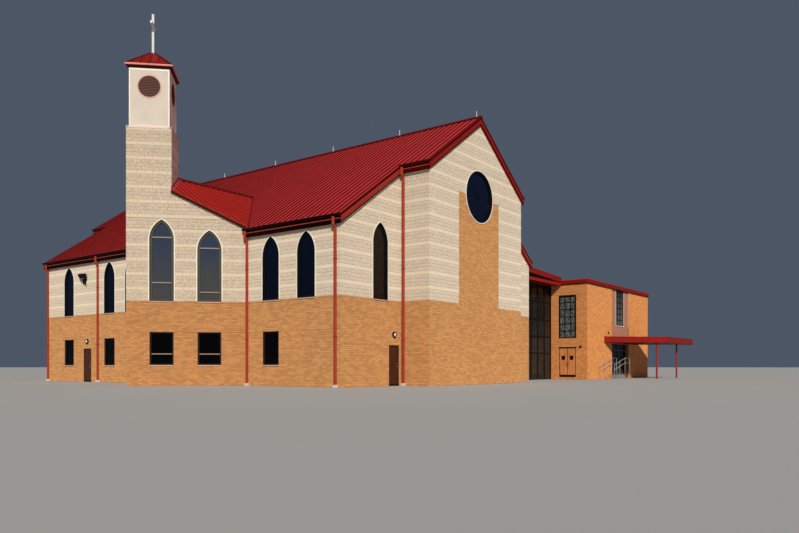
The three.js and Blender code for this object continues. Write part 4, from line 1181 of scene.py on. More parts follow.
def build_roof_seams(settings):
    """Standing seams down both slopes of the nave and both slopes of the bay, in a darker red than the roofs
    that is painted shade beside the seams.
    """
    seams, bay_seams = Surfaces(), Surfaces()
    width, height, spacing = settings.seam_width, settings.seam_height, settings.seam_spacing
    end = GABLE_Y + GABLE_OVERHANG
    y = np.linspace(-end + 0.02, end - 0.02, round(2 * end / spacing) + 1)
    reach = np.where(np.abs(y) > SHOULDER_Y + OVERHANG, CHEEK_EAVE, MAIN_EAVE) - 0.005
    valley = VALLEY_X + np.abs(y - BAY_Y) * BAY_PITCH / PITCH
    for sign in (-1, 1):
        stop = np.minimum(reach, valley) if sign < 0 else reach
        spans = (np.full_like(y, SEAM_START), stop)
        places = [np.column_stack([sign * x, y, roof_height(x)]) for x in spans]
        seams.add(ribs(*places, (sign * PITCH, 0, 1), width, height))
    eave = bay_eave(OVERHANG)
    x = np.arange(VALLEY_X + 0.2, eave - 2.0, spacing)
    start = np.maximum(x - TOWER_CORNER, BAY_SEAM_START)
    stop = np.minimum((x - VALLEY_X) * PITCH / BAY_PITCH, eave - x)
    kept = stop > start + 0.1
    for sign in (-1, 1):
        places = [bay_points(x, dy, sign)[kept] for dy in (start, stop)]
        bay_seams.add(ribs(*places, (0, sign * BAY_PITCH, 1), width, height))
    return seams, bay_seams


def build_roof_edges():
    """Ridge caps and the bay's sloping eaves, and the linings of the valleys and at the tower. The caps'
    darker red, a near-black strip on each valley's crease and the dark band under the bay's eave lip are
    painted shade.
    """
    edges, linings = Surfaces(), Surfaces()
    section = cap_section()
    length = GABLE_Y + GABLE_OVERHANG + 0.05
    # The caps' darker red is painted shade along the ridges.
    edges.add(loft([[[d, y, RIDGE + z] for d, z in section] for y in (-length, length)]), 0.4)
    ends = (-TOWER_CORNER, -VALLEY_X - 0.1)
    edges.add(loft([[[x, BAY_Y + d, BAY_RIDGE + z] for d, z in section] for x in ends]), 0.4)
    for sign in (-1, 1):
        tip, tower_tip, high, low = bay_slope(sign)
        # A near-black strip on the valley's crease, painted shade.
        edges.add(ribs(tip, low, (-1, sign, VALLEY_NORMAL), 0.05, 0.022), 0.0)
        linings.add(ribs(tip, low, (-1, sign, VALLEY_NORMAL), 0.30, 0.012))
        out = np.array([-1, sign, 0]) / ROOT2
        dark = BAY_ROOF_DEPTH - BAY_FASCIA
        # A lit red lip over a near-black band, painted shade under the bay's eave.
        for drop, height, thick, tone in ((0.0, BAY_FASCIA, 0.022, 0.8), (BAY_FASCIA, dark, 0.012, 0.08)):
            centre = -(drop + height / 2) * UP
            edges.add(ribs(high + centre, low + centre, out, height, thick, 0.0), tone)
        tower_side = np.array([1, sign, 0]) / ROOT2
        aside = 0.10 * (tower_side - BAY_PITCH / ROOT2 * UP)
        linings.add(ribs(tower_tip + aside, high + aside, (0, sign * BAY_PITCH, 1), 0.20, 0.016))
        linings.add(ribs(tower_tip + 0.05 * UP, high + 0.05 * UP, tower_side, 0.14, 0.015, 0.0))
    return edges, linings


def build_rods(settings):
    """Lightning rods along the ridge, each a tapering spike on a small saddle."""
    rods = Surfaces()
    count = int((2 * GABLE_Y) // settings.rod_spacing) + 1
    end, foot, half, spike = ROD.values()
    foot += RIDGE
    profile = [(radius, foot + part * settings.rod_height) for radius, part in spike]
    for y in -GABLE_Y + end + settings.rod_spacing * np.arange(count):
        rods.add(upright_box([-half, y - half, foot - 0.01], [half, y + half, foot + 0.03]), 0.4)
        rods.add(turned(0, y, profile, 8), 0.5)
    return rods


# Eaves

JOINT = 0.0006
BOARD = 0.05
BOARD_STEP = 0.024
BOARD_INNER = OVERHANG + JOINT
BOARD_OUTER = BOARD_INNER + BOARD
CAP_DEPTH = 0.055
FACE_BAND = (0.165, 0.46)
BEAD = {"drop": 0.27, "height": 0.045, "relief": 0.012}
STRAPS = (2.6, 6.6)
WALL_GAP = 0.009
GUTTER = {"depth": 0.13, "height": 0.15, "drop": 0.04, "sheet": 0.006, "lip": 0.03}
HANGERS = {"first": 0.45, "spacing": 0.9, "half": 0.015}
PIPE = {"width": 0.16, "depth": 0.13, "elbow": 0.24}
COLLAR = 0.14
LEFT_PIPES = [-14.53, -7.80, 7.7, 14.55]
RIGHT_PIPES = [-14.53, 1.9, 14.55]
CHEEK_PIPE = 15.08

# Tones of the painted trim. The two darkest are painted shade: boards, gutters, soffit layers and recesses
# coloured near-black red where shade falls under edges.
SHADE_RED, CHEEK_SHADE_RED, DULL_RED, CAP_RED = 0.0, 0.2, 0.35, 0.55
FACE_RED, RED, SHOULDER_RED, PIPE_RED = 0.66, 0.72, 0.85, 1.0


def gutter_section(top):
    """Section of a folded gutter, as distance from the wall and height: its outside, then its inside."""
    depth, height, drop, sheet = list(GUTTER.values())[:4]
    outside = [
        [0, 0], [0, -height], [0.08, -height], [0.10, -0.6 * height], [depth, -0.4 * height], [depth, 0],
    ]
    inside = [
        [depth - sheet, 0], [depth - sheet, -0.37 * height], [0.10 - sheet, -0.57 * height],
        [0.08 - sheet, sheet - height], [sheet, sheet - height], [sheet, 0],
    ]
    return np.array(outside + inside) + [BOARD_OUTER + 0.001, top - drop]


def along_y(section, sign, wall_x, low_y, high_y):
    """Carries a section of distance and height along Y beside a wall on one side of the nave."""
    return loft([[[sign * (wall_x + d), y, z] for d, z in section] for y in (low_y, high_y)])


def beside(sign, wall_x, start, end):
    """Lowest and highest X of what lies between two distances from a wall on one side of the nave."""
    return sorted((sign * (wall_x + start), sign * (wall_x + end)))


def add_downspout(eaves, sign, wall_x, y, top):
    """A downspout from the gutter back to the wall and straight down it, with two straps.

    Its section is a rounded oblong: half the width or depth times the cosine or sine to the power 0.6.
    """
    bottom = top - ROOF_DEPTH
    width, depth, bend = PIPE.values()
    centre = depth / 2 + 0.008
    outlet = BOARD_OUTER + GUTTER["depth"] - depth / 2
    mouth = top - GUTTER["drop"] - GUTTER["height"] + 0.01
    stations = [(centre, 0.02), (centre, bottom - bend + 0.03), (outlet, bottom - 0.03), (outlet, mouth)]
    path = [[sign * (wall_x + d), y, z] for d, z in stations]
    half = [width / 2, depth / 2 - 0.004]
    turn = (np.arange(16) + 0.5) * math.pi / 8
    wave = np.column_stack([np.cos(turn), np.sin(turn)])
    eaves.add(sweep(np.sign(wave) * np.abs(wave) ** 0.6 * half, path, (0, 1, 0)), PIPE_RED)
    near, far = beside(sign, wall_x, WALL_GAP, 2 * centre - 0.004)
    reach = half[0] + 0.006
    for height in STRAPS:
        eaves.add(upright_box([near, y - reach, height], [far, y + reach, height + 0.03]), RED)


def add_eave(eaves, sign, wall_x, low_y, high_y, pipes, dark=SHADE_RED):
    """A fascia board and a hollow gutter in a near-black red that is painted shade, one red bead and a red
    lip that keep the lit red, and its downspouts.
    """
    top = roof_height(wall_x + OVERHANG)

    def strip(start, end, low, high, tone):
        near, far = beside(sign, wall_x, start, end)
        eaves.add(upright_box([near, low_y, low], [far, high_y, high]), tone)

    # The board and the gutter's body take the dark tone, painted shade under the roof's edge.
    strip(BOARD_INNER, BOARD_OUTER, top - ROOF_DEPTH, top, dark)
    section = gutter_section(top)
    eaves.add(along_y(section, sign, wall_x, low_y, high_y), dark)
    for y in (low_y, high_y - GUTTER["sheet"]):
        eaves.add(along_y(section[:6], sign, wall_x, y, y + GUTTER["sheet"]), DULL_RED)
    level = top - GUTTER["drop"]
    face = BOARD_OUTER + GUTTER["depth"]
    strip(face - 0.016, face, level - GUTTER["lip"], level + 0.004, PIPE_RED)
    near, far = beside(sign, wall_x, BOARD_OUTER, face - 0.01)
    first, spacing, half = HANGERS.values()
    for y in np.arange(low_y + first, high_y, spacing):
        eaves.add(upright_box([near, y - half, level - 0.015], [far, y + half, level - 0.007]), DULL_RED)
    drop, height, relief = BEAD.values()
    strip(BOARD_OUTER, BOARD_OUTER + relief, top - drop - height, top - drop, PIPE_RED)
    for y in pipes:
        add_downspout(eaves, sign, wall_x, y, top)


def build_side_eaves():
    """The long eaves of both sides, the left one in two lengths beside the bay."""
    eaves = Surfaces()
    rake = SHOULDER_Y + BOARD_OUTER
    bay = BAY_HALF + OVERHANG * (ROOT2 - 1) + 3 * JOINT
    add_eave(eaves, -1, NAVE_X, -rake, BAY_Y - bay, LEFT_PIPES[:2])
    add_eave(eaves, -1, NAVE_X, BAY_Y + bay, rake, LEFT_PIPES[2:])
    add_eave(eaves, 1, NAVE_X, -rake, rake, RIGHT_PIPES)
    return eaves


def build_end_eaves(end):
    """Rake boards of one end's gable and shoulders, and the short eaves over its cheeks. The near-black layer
    of each rake board is painted shade in the gap under its cap strip and at the soffit.
    """
    rakes = Surfaces()
    reach = CHEEK_EAVE + JOINT + BOARD
    gable = GABLE_Y + GABLE_OVERHANG + JOINT
    shoulder = SHOULDER_Y + BOARD_INNER
    runs = (
        (0, reach, gable, FACE_RED), (-reach, 0, gable, FACE_RED),
        (CHEEK_EAVE + JOINT, MAIN_EAVE, shoulder, SHOULDER_RED),
        (-MAIN_EAVE, -CHEEK_EAVE - JOINT, shoulder, SHOULDER_RED),
    )
    for low_x, high_x, start, face_tone in runs:
        # The middle layer's near-black red is painted shade under the cap strip and at the soffit.
        layers = (
            (0.0, CAP_DEPTH, 0.0, BOARD, CAP_RED),
            (CAP_DEPTH, ROOF_DEPTH, 0.0, BOARD - BOARD_STEP, SHADE_RED),
            (*FACE_BAND, BOARD - BOARD_STEP, BOARD - 0.002, face_tone),
        )
        for drop_high, drop_low, inner, outer, tone in layers:
            low_y, high_y = sorted((end * (start + inner), end * (start + outer)))
            rakes.add(sheared(low_x, high_x, low_y, high_y, drop_high, drop_low), tone)
    # The cheeks' boards and gutters take a less dark tone, painted shade too.
    low_y, high_y = sorted((end * (gable + BOARD), end * shoulder))
    for sign in (-1, 1):
        add_eave(rakes, sign, GABLE_X, low_y, high_y, [end * CHEEK_PIPE], CHEEK_SHADE_RED)
    return rakes


def build_collars():
    """Small pale collars on the ground that take the downspouts, wider at the foot than at the top."""
    collars = Surfaces()
    feet = [(-1, NAVE_X, y) for y in LEFT_PIPES] + [(1, NAVE_X, y) for y in RIGHT_PIPES]
    feet += [(side, GABLE_X, end * CHEEK_PIPE) for side in (-1, 1) for end in (-1, 1)]
    for side, wall_x, y in feet:
        rings = []
        for grow, z in ((0.02, 0.0), (0.0, 0.02), (0.0, COLLAR - 0.02), (-0.02, COLLAR)):
            half = PIPE["width"] / 2 + 0.03 + grow
            near, far = beside(side, wall_x, WALL_GAP, PIPE["depth"] + 0.03 + grow)
            rings.append(raised(rectangle(near, y - half, far, y + half), z))
        collars.add(loft(rings))
    return collars


# Tower

CORNER_STRIP = {"inner": 0.07, "outer": 0.008}
HEAD_STRIP = 0.12
LOUVRE_RING = (0.06, -0.004)
SLAT = {"first": -0.54, "spacing": 0.09, "count": 13, "gap": 0.01}
SLAT_SECTION = [[0.034, -0.030], [0.046, -0.026], [-0.016, 0.020], [-0.030, 0.014]]
TIP_DROP = 0.13
HIP_INSET = 0.02
ROOF_SEAM_SPACING = 0.46
EAVE_SOFFIT = ((1.15, 0.0), (1.18, 0.04), (1.25, 0.08), (1.262, TOWER_FASCIA - 0.07))
EAVE_STRIP = ((1.285, -0.08), (1.285, -0.06), (1.30, -0.05), (1.30, 0.0))


def hoop(surfaces, half, low, high, relief, tone, back=-0.01):
    """A band round the tower, half its width from the axis, standing out by relief."""
    reach = half + relief
    for wall in tower_faces(half):
        surfaces.plate(wall, rectangle(-reach, low, reach, high), back, relief, tone)


def build_tower_trims():
    """Corner strips, the cap course on the shaft, the belfry's head strip and the louvres' rings."""
    trims = Surfaces()
    half, head = BELFRY / 2, BELFRY_TOP - HEAD_STRIP
    hoop(trims, TOWER / 2, TOWER_TOP - 0.10, TOWER_TOP + 0.012, 0.028, 0.55, -0.13)
    hoop(trims, half, TOWER_TOP, TOWER_TOP + 0.07, 0.010, 1.0)
    hoop(trims, half, head, BELFRY_TOP, 0.012, 1.0)
    inner, outer = half - CORNER_STRIP["inner"], half + CORNER_STRIP["outer"]
    for wall in tower_faces(half):
        for left, right in ((-outer, -inner), (inner, outer)):
            trims.plate(wall, rectangle(left, TOWER_TOP, right, head), -0.01, 0.008, 1.0)
        ring = [circle(0, LOUVRE_HEIGHT, LOUVRE_RADIUS + extra) for extra in LOUVRE_RING]
        trims.hang(wall, border(*ring, -0.02, 0.016), 0.0)
    return trims


def build_louvres():
    """Sloping slats across each round opening, in front of a dark disc that is painted shade inside the
    belfry.
    """
    slats, shade_discs = Surfaces(), Surfaces()
    disc = circle(0, LOUVRE_HEIGHT, LOUVRE_RADIUS)
    first, spacing, count, gap = SLAT.values()
    for wall in tower_faces(BELFRY / 2):
        # The dark disc is painted shade of the belfry's inside.
        shade_discs.plate(wall, disc, -0.01, 0.002)
        for rise in first + spacing * np.arange(count):
            half = math.sqrt(max(LOUVRE_RADIUS**2 - (abs(rise) + 0.03) ** 2, 0.004)) - gap
            section = np.array(SLAT_SECTION) + [LOUVRE_HEIGHT + rise, 0]
            rings = [np.column_stack([np.full(4, place), section]) for place in (-half, half)]
            slats.hang(wall, loft(rings), 0.5 + 0.3 * math.sin(rise * 40))
    return slats, shade_discs


def square_loft(profile, base):
    """A solid round the turned tower's axis, through (half width, height over base) pairs."""
    corners = np.array([[-1, 0], [0, -1], [1, 0], [0, 1]]) * ROOT2
    return loft([raised([TOWER_X, BAY_Y] + half * corners, base + rise) for half, rise in profile])


def build_tower_roof():
    """The pyramid roof with hip caps and seams, over a boxed eave that steps in towards the belfry. The
    eave's dark red is painted shade under the roof's edge, and the pale pink strip along its top edge is a
    painted highlight.
    """
    roof, strips = Surfaces(), Surfaces()
    eaves = BELFRY_TOP + TOWER_FASCIA
    slope = (TOWER_ROOF_TOP - eaves) / TOWER_ROOF_HALF
    rise = TOWER_ROOF_TOP - TIP_DROP - eaves
    tip = TIP_DROP / slope
    roof.add(square_loft([(TOWER_ROOF_HALF - 0.01, -0.02), (tip, rise)], eaves), 0.6)
    # The boxed eave's dark red is painted shade.
    roof.add(square_loft(EAVE_SOFFIT, BELFRY_TOP), 0.16)
    # The pale pink strip is a painted highlight along the eave's top edge.
    strips.add(square_loft(EAVE_STRIP, eaves))
    across = np.arange(-2, 3) * ROOF_SEAM_SPACING
    reach = np.maximum(np.abs(across), tip)
    start = np.column_stack([across, np.full(5, eaves), np.full(5, TOWER_ROOF_HALF)])
    end = np.column_stack([across, eaves + (TOWER_ROOF_HALF - reach) * slope, reach])
    corner = TOWER_ROOF_HALF - HIP_INSET
    hip = np.array([[corner, eaves, corner], [tip, eaves + rise, tip]])
    for wall in tower_faces(0):
        roof.add(ribs(wall.place(start), wall.place(end), slope * wall.out + UP, 0.03, 0.035), 0.45)
        outward = (wall.out + wall.across) * slope + 2 * UP
        roof.add(ribs(*wall.place(hip), outward, 0.09, 0.02, 0.02), 0.3)
    return roof, strips


# Link, annex and canopy

LINK = {"start": 11.10, "low_top": 8.64, "band": 0.43, "beam": 0.23}
LINK_POSTS = {"count": 8, "half": 0.04, "relief": 0.07, "tone": 0.5}
LINK_RAILS = {"heights": (0.06, 2.2, 3.6, 5.0, 6.5), "end": 0.06, "half": 0.05, "relief": 0.055, "tone": 0.35}
CANOPY = {"soffit": 3.16, "cap": 0.05, "lap": 0.06, "recess": 0.014, "joints": 1.2}
CANOPY_POSTS = {"x": (26.6, 32.5), "y": -19.15}
POST_PROFILE = ((0.15, 0.0), (0.15, 0.02), (0.085, 0.02), (0.08, 0.06))
POST_HEAD = ((0.08, -0.03), (0.14, -0.01), (0.14, 0.02))
ROOF_LIP = 0.10
LEFT_LIP_START = 13.52
LEADS = {"frame": 0.07, "bar": 0.02, "columns": 3, "rows": 6, "diamonds": (9, 18), "lead": 0.014}
PANEL_EDGE = 0.045
ENTRANCE = {"floor": 0.38, "posts": (25.6, 26.75, 27.9), "rail": 2.55, "back": -0.30, "front": -0.235}
ENTRANCE_PULLS = {"places": (26.62, 26.88), "half": 0.012, "low": 1.2, "high": 1.7}
HANDRAILS = {"foot": (21.3, 1.22), "head": (23.8, 1.82), "end": 25.0, "offsets": (0.3, 1.5), "lower": 0.42}
RAIL_RADIUS = 0.019
RAIL_POST_RADIUS = 0.018


def build_link_bars():
    """Mullions and rails in front of both glazed sides of the link."""
    bars = Surfaces()
    left, right = edge("link_front_glazing", "x", 0), edge("link_front_glazing", "x", 1)
    top = edge("link_front_glazing", "z", 1)
    half = LINK_POSTS["half"]
    places = np.linspace(left + half, right - half, LINK_POSTS["count"])
    posts = [(x - half, x + half, 0, top) for x in places]
    half = LINK_RAILS["half"]
    heights = (*LINK_RAILS["heights"], top - LINK_RAILS["end"])
    rails = [(left, right, z - half, z + half) for z in heights]
    for face, sign in ((edge("link_front_glazing", "y", 0), -1), (edge("link_rear_glazing", "y", 1), 1)):
        for kind, spans in ((LINK_POSTS, posts), (LINK_RAILS, rails)):
            near, far = sorted((face - sign * 0.01, face + sign * kind["relief"]))
            for low_x, high_x, low, high in spans:
                bars.add(upright_box([low_x, near, low], [high_x, far, high]), kind["tone"])
    return bars


def build_link_trims():
    """The link roof's edges: a sloping red band at the top, a recess in near-black red that is painted shade
    under the band, and a level red beam below.
    """
    trims = Surfaces()
    left, right = edge("link_roof", "x", 0), edge("link_roof", "x", 1)
    bottom, top = edge("link_roof", "z", 0), edge("link_roof", "z", 1)
    start, low_top, band, beam = LINK.values()
    beam += bottom

    def sloping(drop):
        below = [[start, top - drop], [right, low_top - drop]]
        return [*below, [right, low_top], [start, top]]

    recess = [[start, beam], [right, beam], [right, low_top - band], [start, top - band]]
    shapes = [
        (sloping(band), 0.018, FACE_RED),
        (sloping(0.05), 0.026, 0.80),
        # The recess's near-black red is painted shade under the band.
        (recess, 0.004, SHADE_RED),
        (rectangle(left, bottom, right, beam), 0.018, 0.76),
        (rectangle(left, bottom, right, bottom + 0.04), 0.026, 0.85),
    ]
    for side, facing in ((0, -90), (1, 90)):
        wall = Wall(0, edge("link_roof", "y", side), facing)
        for outline, relief, tone in shapes:
            outline = np.array(outline) * [-math.copysign(1, facing), 1]
            trims.plate(wall, outline, -0.005, relief, tone)
    return trims


def drawn_in(outline, distance):
    """An outline moved in by a distance, each corner along the mitre of its two sides."""
    outline = np.asarray(outline, float)
    runs = unit(np.roll(outline, -1, axis=0) - outline)
    inward = np.column_stack([-runs[:, 1], runs[:, 0]])
    return outline + distance * mitre(inward, np.roll(inward, 1, axis=0))


def build_canopy():
    """The canopy: a recessed fascia between a cap and a drip, a flat soffit in a near-black red that is
    painted shade, and two posts with plates.
    """
    canopy = Surfaces()
    left, right = edge("canopy", "x", 0), edge("canopy", "x", 1)
    front, back = edge("canopy", "y", 0), edge("canopy", "y", 1)
    low, cap, lap, recess, spacing = CANOPY.values()
    top = edge("canopy", "z", 1)
    reach = back - front
    plan = np.array([[left, back], [left + reach, front], [right, front], [right - reach, back]])
    rim, inner = drawn_in(plan, lap), drawn_in(plan, 0.05)
    canopy.add(border(plan, rim, top - cap, top), 0.60)
    canopy.add(border(drawn_in(plan, recess), inner, low + cap, top - cap), 0.68)
    canopy.add(border(plan, rim, low, low + cap), 0.45)
    # The soffit's near-black red is painted shade under the canopy.
    canopy.add(slab(inner, low + 0.02, low + 0.08), 0.1)
    canopy.add(slab(inner, low + 0.08, top - 0.03), 0.60)
    for place in np.arange(left + reach + 0.6, right - reach, spacing):
        joint = ([place - 0.01, front + 0.05, low + 0.008], [place + 0.01, back - 0.06, low + 0.021])
        canopy.add(upright_box(*joint), 0.0)
    profile = [*POST_PROFILE, *((radius, low + rise) for radius, rise in POST_HEAD)]
    for x in CANOPY_POSTS["x"]:
        canopy.add(turned(x, CANOPY_POSTS["y"], profile, 24), 0.85)
    return canopy


def build_annex_trims():
    """Drip and cap along the annex roof's edge; the drip's near-black red is painted shade under the edge."""
    trims = Surfaces()
    left, right, front = ANNEX_LEFT - ROOF_LIP, ANNEX_RIGHT + ROOF_LIP, ANNEX_FRONT - ROOF_LIP
    low, high = edge("annex_roof", "z", 0), edge("annex_roof", "z", 1)
    spans = {
        "front": (left, right),
        "right": (front, ANNEX_REAR + ROOF_LIP),
        "rear": (-right, -ANNEX_LEFT),
        "left": (LEFT_LIP_START, -front),
    }
    for face, (start, end) in spans.items():
        wall = ANNEX_FACES[face]
        trims.plate(wall, rectangle(start, high - 0.05, end, high + 0.012), 0.09, 0.115, 0.95)
        # The drip's near-black red is painted shade under the roof's edge.
        trims.plate(wall, rectangle(start, low, end, low + 0.045), 0.09, 0.11, 0.1)
    return trims


def diamond_lights(left, low, right, high, columns, rows, lead):
    """Leaded diamonds that fill a rectangle, clipped at its edges. Returns their corners (n, 4, 2)."""
    across, up = np.meshgrid(np.arange(2 * columns + 1), np.arange(2 * rows + 1))
    kept = (across + up) % 2 == 0
    wide, tall = (right - left) / columns / 2, (high - low) / rows / 2
    centres = np.column_stack([left + across[kept] * wide, low + up[kept] * tall])
    corners = np.array([[0, -1], [1, 0], [0, 1], [-1, 0]]) * [wide - lead, tall - lead]
    points = centres[:, None] + corners
    return np.clip(points, [left + lead / 2, low + lead / 2], [right - lead / 2, high - lead / 2])


def build_leaded_window():
    """Dark diamond panes in pale leads, over the annex's side door."""
    wall = ANNEX_FACES["left"]
    left, right, low, high = -LEADED["high"], -LEADED["low"], LEADED["sill"], LEADED["top"]
    frames, panes = Surfaces(), Surfaces()
    wide, half, columns, rows, diamonds, lead = LEADS.values()
    inner = (left + wide, low + wide, right - wide, high - wide)
    ring = border(rectangle(left, low, right, high), rectangle(*inner), -PANE_DEPTH, 0.02)
    frames.hang(wall, ring, 0.4)
    uprights = np.linspace(left, right, columns + 1)[1:-1]
    levels = np.linspace(low, high, rows + 1)[1:-1]
    bars = [rectangle(x - half, low + 0.06, x + half, high - 0.06) for x in uprights]
    bars += [rectangle(left + 0.06, z - half, right - 0.06, z + half) for z in levels]
    for bar in bars:
        frames.plate(wall, bar, -PANE_DEPTH, -PANE_DEPTH + 0.05, 0.4)
    corners = diamond_lights(*inner, *diamonds, lead)
    tones = np.repeat(np.random.default_rng(SEED).random(len(corners)) ** 2, len(BOX_FACES))
    panes.hang(wall, flat_units(corners, -PANE_DEPTH - 0.005, -PANE_DEPTH + 0.012), tones)
    return frames, panes


def build_annex_window(glazier):
    """The tall window in the annex's front panel, set in the panel's face between two pale edges."""
    wall = Wall(0, PANEL_FACE, -90)
    left, right, sill, top = PANEL_WINDOW.values()
    posts = np.linspace(left, right, 4)[1:-1]
    bars = np.linspace(sill, top, 7)[1:-1]
    glazier.square(wall, left, right, sill, top, bars, posts, 0)
    for place in (left - PANEL_EDGE, right):
        strip = rectangle(place, sill - 0.03, place + PANEL_EDGE, top - 0.01)
        glazier.put("trims", wall, slab(strip, -0.005, 0.014))


def build_entrance():
    """The glazed entrance under the canopy: pale posts and rails, and the pulls of its pair of doors."""
    bars = Surfaces()
    wall = ANNEX_FACES["front"]
    floor, posts, rail, back, front = ENTRANCE.values()
    head = PANEL_BOTTOM
    for place in (PANEL_LEFT + 0.03, *posts, PANEL_RIGHT - 0.03):
        bars.plate(wall, rectangle(place - 0.03, floor, place + 0.03, head), back, front, 0.6)
    for height in (floor + 0.05, rail, head - 0.03):
        bars.plate(wall, rectangle(PANEL_LEFT, height - 0.03, PANEL_RIGHT, height + 0.03), back, front, 0.5)
    places, half, low, high = ENTRANCE_PULLS.values()
    for place in places:
        bars.plate(wall, rectangle(place - half, low, place + half, high), front, front + 0.05, 0.8)
    return bars


def build_handrails():
    """Two tubular handrails that climb beside the annex's front wall to its entrance, and their posts."""
    rails = Surfaces()
    (foot, low), (head, high), end, offsets, lower = HANDRAILS.values()
    for offset in offsets:
        y = ANNEX_FRONT - offset
        for drop in (0.0, lower):
            path = [[foot, y, low - drop], [head, y, high - drop], [end, y, high - drop]]
            rails.add(tube(path, RAIL_RADIUS))
        for x in np.append(np.linspace(foot, head, 3), end):
            height = min(low + (x - foot) * (high - low) / (head - foot), high)
            rails.add(tube([[x, y, 0], [x, y, height]], RAIL_POST_RADIUS))
    return rails


# Doors and fixtures

DOOR_FACE = -0.02
STILE = 0.14
LEVER = {"height": 1.08, "neck": 0.045, "length": 0.11, "radius": 0.009, "lock_rise": 0.16}
LEAF = {"middle": 0.37, "light": 1.82, "pull": 0.075, "pull_low": 1.08, "pull_high": 1.42}
LIGHT_OUTER = rectangle(-0.15, -0.17, 0.15, 0.17)
LIGHT_INNER = rectangle(-0.11, -0.13, 0.11, 0.13)
MEETING_EDGE = {"near": 0.008, "far": 0.026, "low": 0.41, "high": 2.58}
LAMP_RADIUS = 0.18
LAMP_RIM = ((1.0, -0.005), (1.0, 0.05), (0.94, 0.075), (0.58, 0.08))
LAMP_DOME = ((0.56, 0.06), (0.55, 0.09), (0.42, 0.108), (0.22, 0.118))
LAMPS = (
    (FRONT_SHOULDERS, -5.97, 2.86, 1.0),
    (LEFT_SIDE, -9.14, 2.86, 1.0),
    (ANNEX_FACES["left"], 15.22, 2.73, 0.55),
    (ANNEX_FACES["front"], 23.75, 4.03, 0.5),
)
FLOODLIGHTS = {"across": -9.4, "up": 7.35, "aside": 0.25, "rise": 0.17, "yaw": 0.4}
FLOODLIGHT_OUT = 0.26
FLOODLIGHT_TILT = -0.45
FLOODLIGHT_HEAD = ((-0.16, 0.09, 0.07), (-0.06, 0.16, 0.13), (0.07, 0.19, 0.16), (0.10, 0.19, 0.16))
DRIP = {"side": 0.04, "low": -0.005, "high": 0.06, "relief": 0.03}


def lever(wall, place):
    """A lever handle under a round lock: a round plate, a neck and a bar that runs left to the hinges."""
    fitting = Surfaces()
    height, neck, length, radius, lock_rise = LEVER.values()
    face = DOOR_FACE
    fitting.hang(wall, turned(place, height, ((0.028, face), (0.024, face + 0.01)), 20))
    end = [place - length, height, face + neck + 0.005]
    path = [[place, height, face], [place, height, face + neck], end]
    fitting.hang(wall, tube(path, radius, 10), 0.6)
    lock = turned(place, height + lock_rise, ((0.022, face), (0.018, face + 0.012)), 16)
    fitting.hang(wall, lock)
    return fitting


def build_door_fittings():
    """Handles of the brown doors; lights, pulls and dark meeting edges of the annex doors."""
    face = DOOR_FACE
    brown = (
        ("front_left_door", FRONT_SHOULDERS, FRONT_DOOR["high"]),
        ("left_side_door", LEFT_SIDE, -SIDE_DOOR["low"]),
    )
    for body, wall, side in brown:
        lever(wall, side - STILE).piece(f"{body}_fittings", "steel", "dark_frame", body)
    wall = ANNEX_FACES["left"]
    middle = -(ANNEX_DOOR["low"] + ANNEX_DOOR["high"]) / 2
    centre, light, grip, low, high = LEAF.values()
    for body, side in (("annex_door_left", -1), ("annex_door_right", 1)):
        window, fitting = Surfaces(), Surfaces()
        place = [middle + side * centre, light]
        rim = border(LIGHT_OUTER + place, LIGHT_INNER + place, face - 0.001, face + 0.012)
        fitting.hang(wall, rim, 0.4)
        window.plate(wall, LIGHT_INNER + place, face - 0.001, face + 0.004)
        x = middle + side * grip
        pull = [[x, low, face], [x, low, face + 0.05], [x, high, face + 0.05], [x, high, face]]
        fitting.hang(wall, tube(pull, 0.011, 10), 0.6)
        near, far = sorted(middle + side * MEETING_EDGE[key] for key in ("near", "far"))
        stile = rectangle(near, MEETING_EDGE["low"], far, MEETING_EDGE["high"])
        fitting.plate(wall, stile, face - 0.001, face + 0.002, 0.3)
        fitting.piece(f"{body}_fittings", "dark_metal", "dark_frame", body)
        window.piece(f"{body}_light", "dark_glass", "glass", body)


def add_bulkhead(cases, lenses, wall, across, up, scale):
    """A round wall lamp: a dark case with a rolled rim round a domed lens, which is dark on small lamps."""
    domes = lenses if scale == 1 else cases
    for surfaces, profile, tone in ((cases, LAMP_RIM, 0.4), (domes, LAMP_DOME, 0.5)):
        rings = [(LAMP_RADIUS * scale * part, out) for part, out in profile]
        surfaces.hang(wall, turned(across, up, rings, 24), tone)


def add_floodlight(cases, wall, across, up, yaw):
    """A floodlight head: a box that widens towards its front, tilted down and turned by yaw."""
    forward = unit(np.array([math.sin(yaw), FLOODLIGHT_TILT, math.cos(yaw)]))
    aside = unit(np.cross([0, 1, 0], forward))
    above = np.cross(forward, aside)
    square = rectangle(-1, -1, 1, 1)
    rings = []
    for step, wide, tall in FLOODLIGHT_HEAD:
        corners = square * [wide, tall]
        centre = np.array([across, up, FLOODLIGHT_OUT]) + step * forward
        rings.append(centre + corners[:, :1] * aside + corners[:, 1:] * above)
    cases.hang(wall, loft(rings), 0.4)


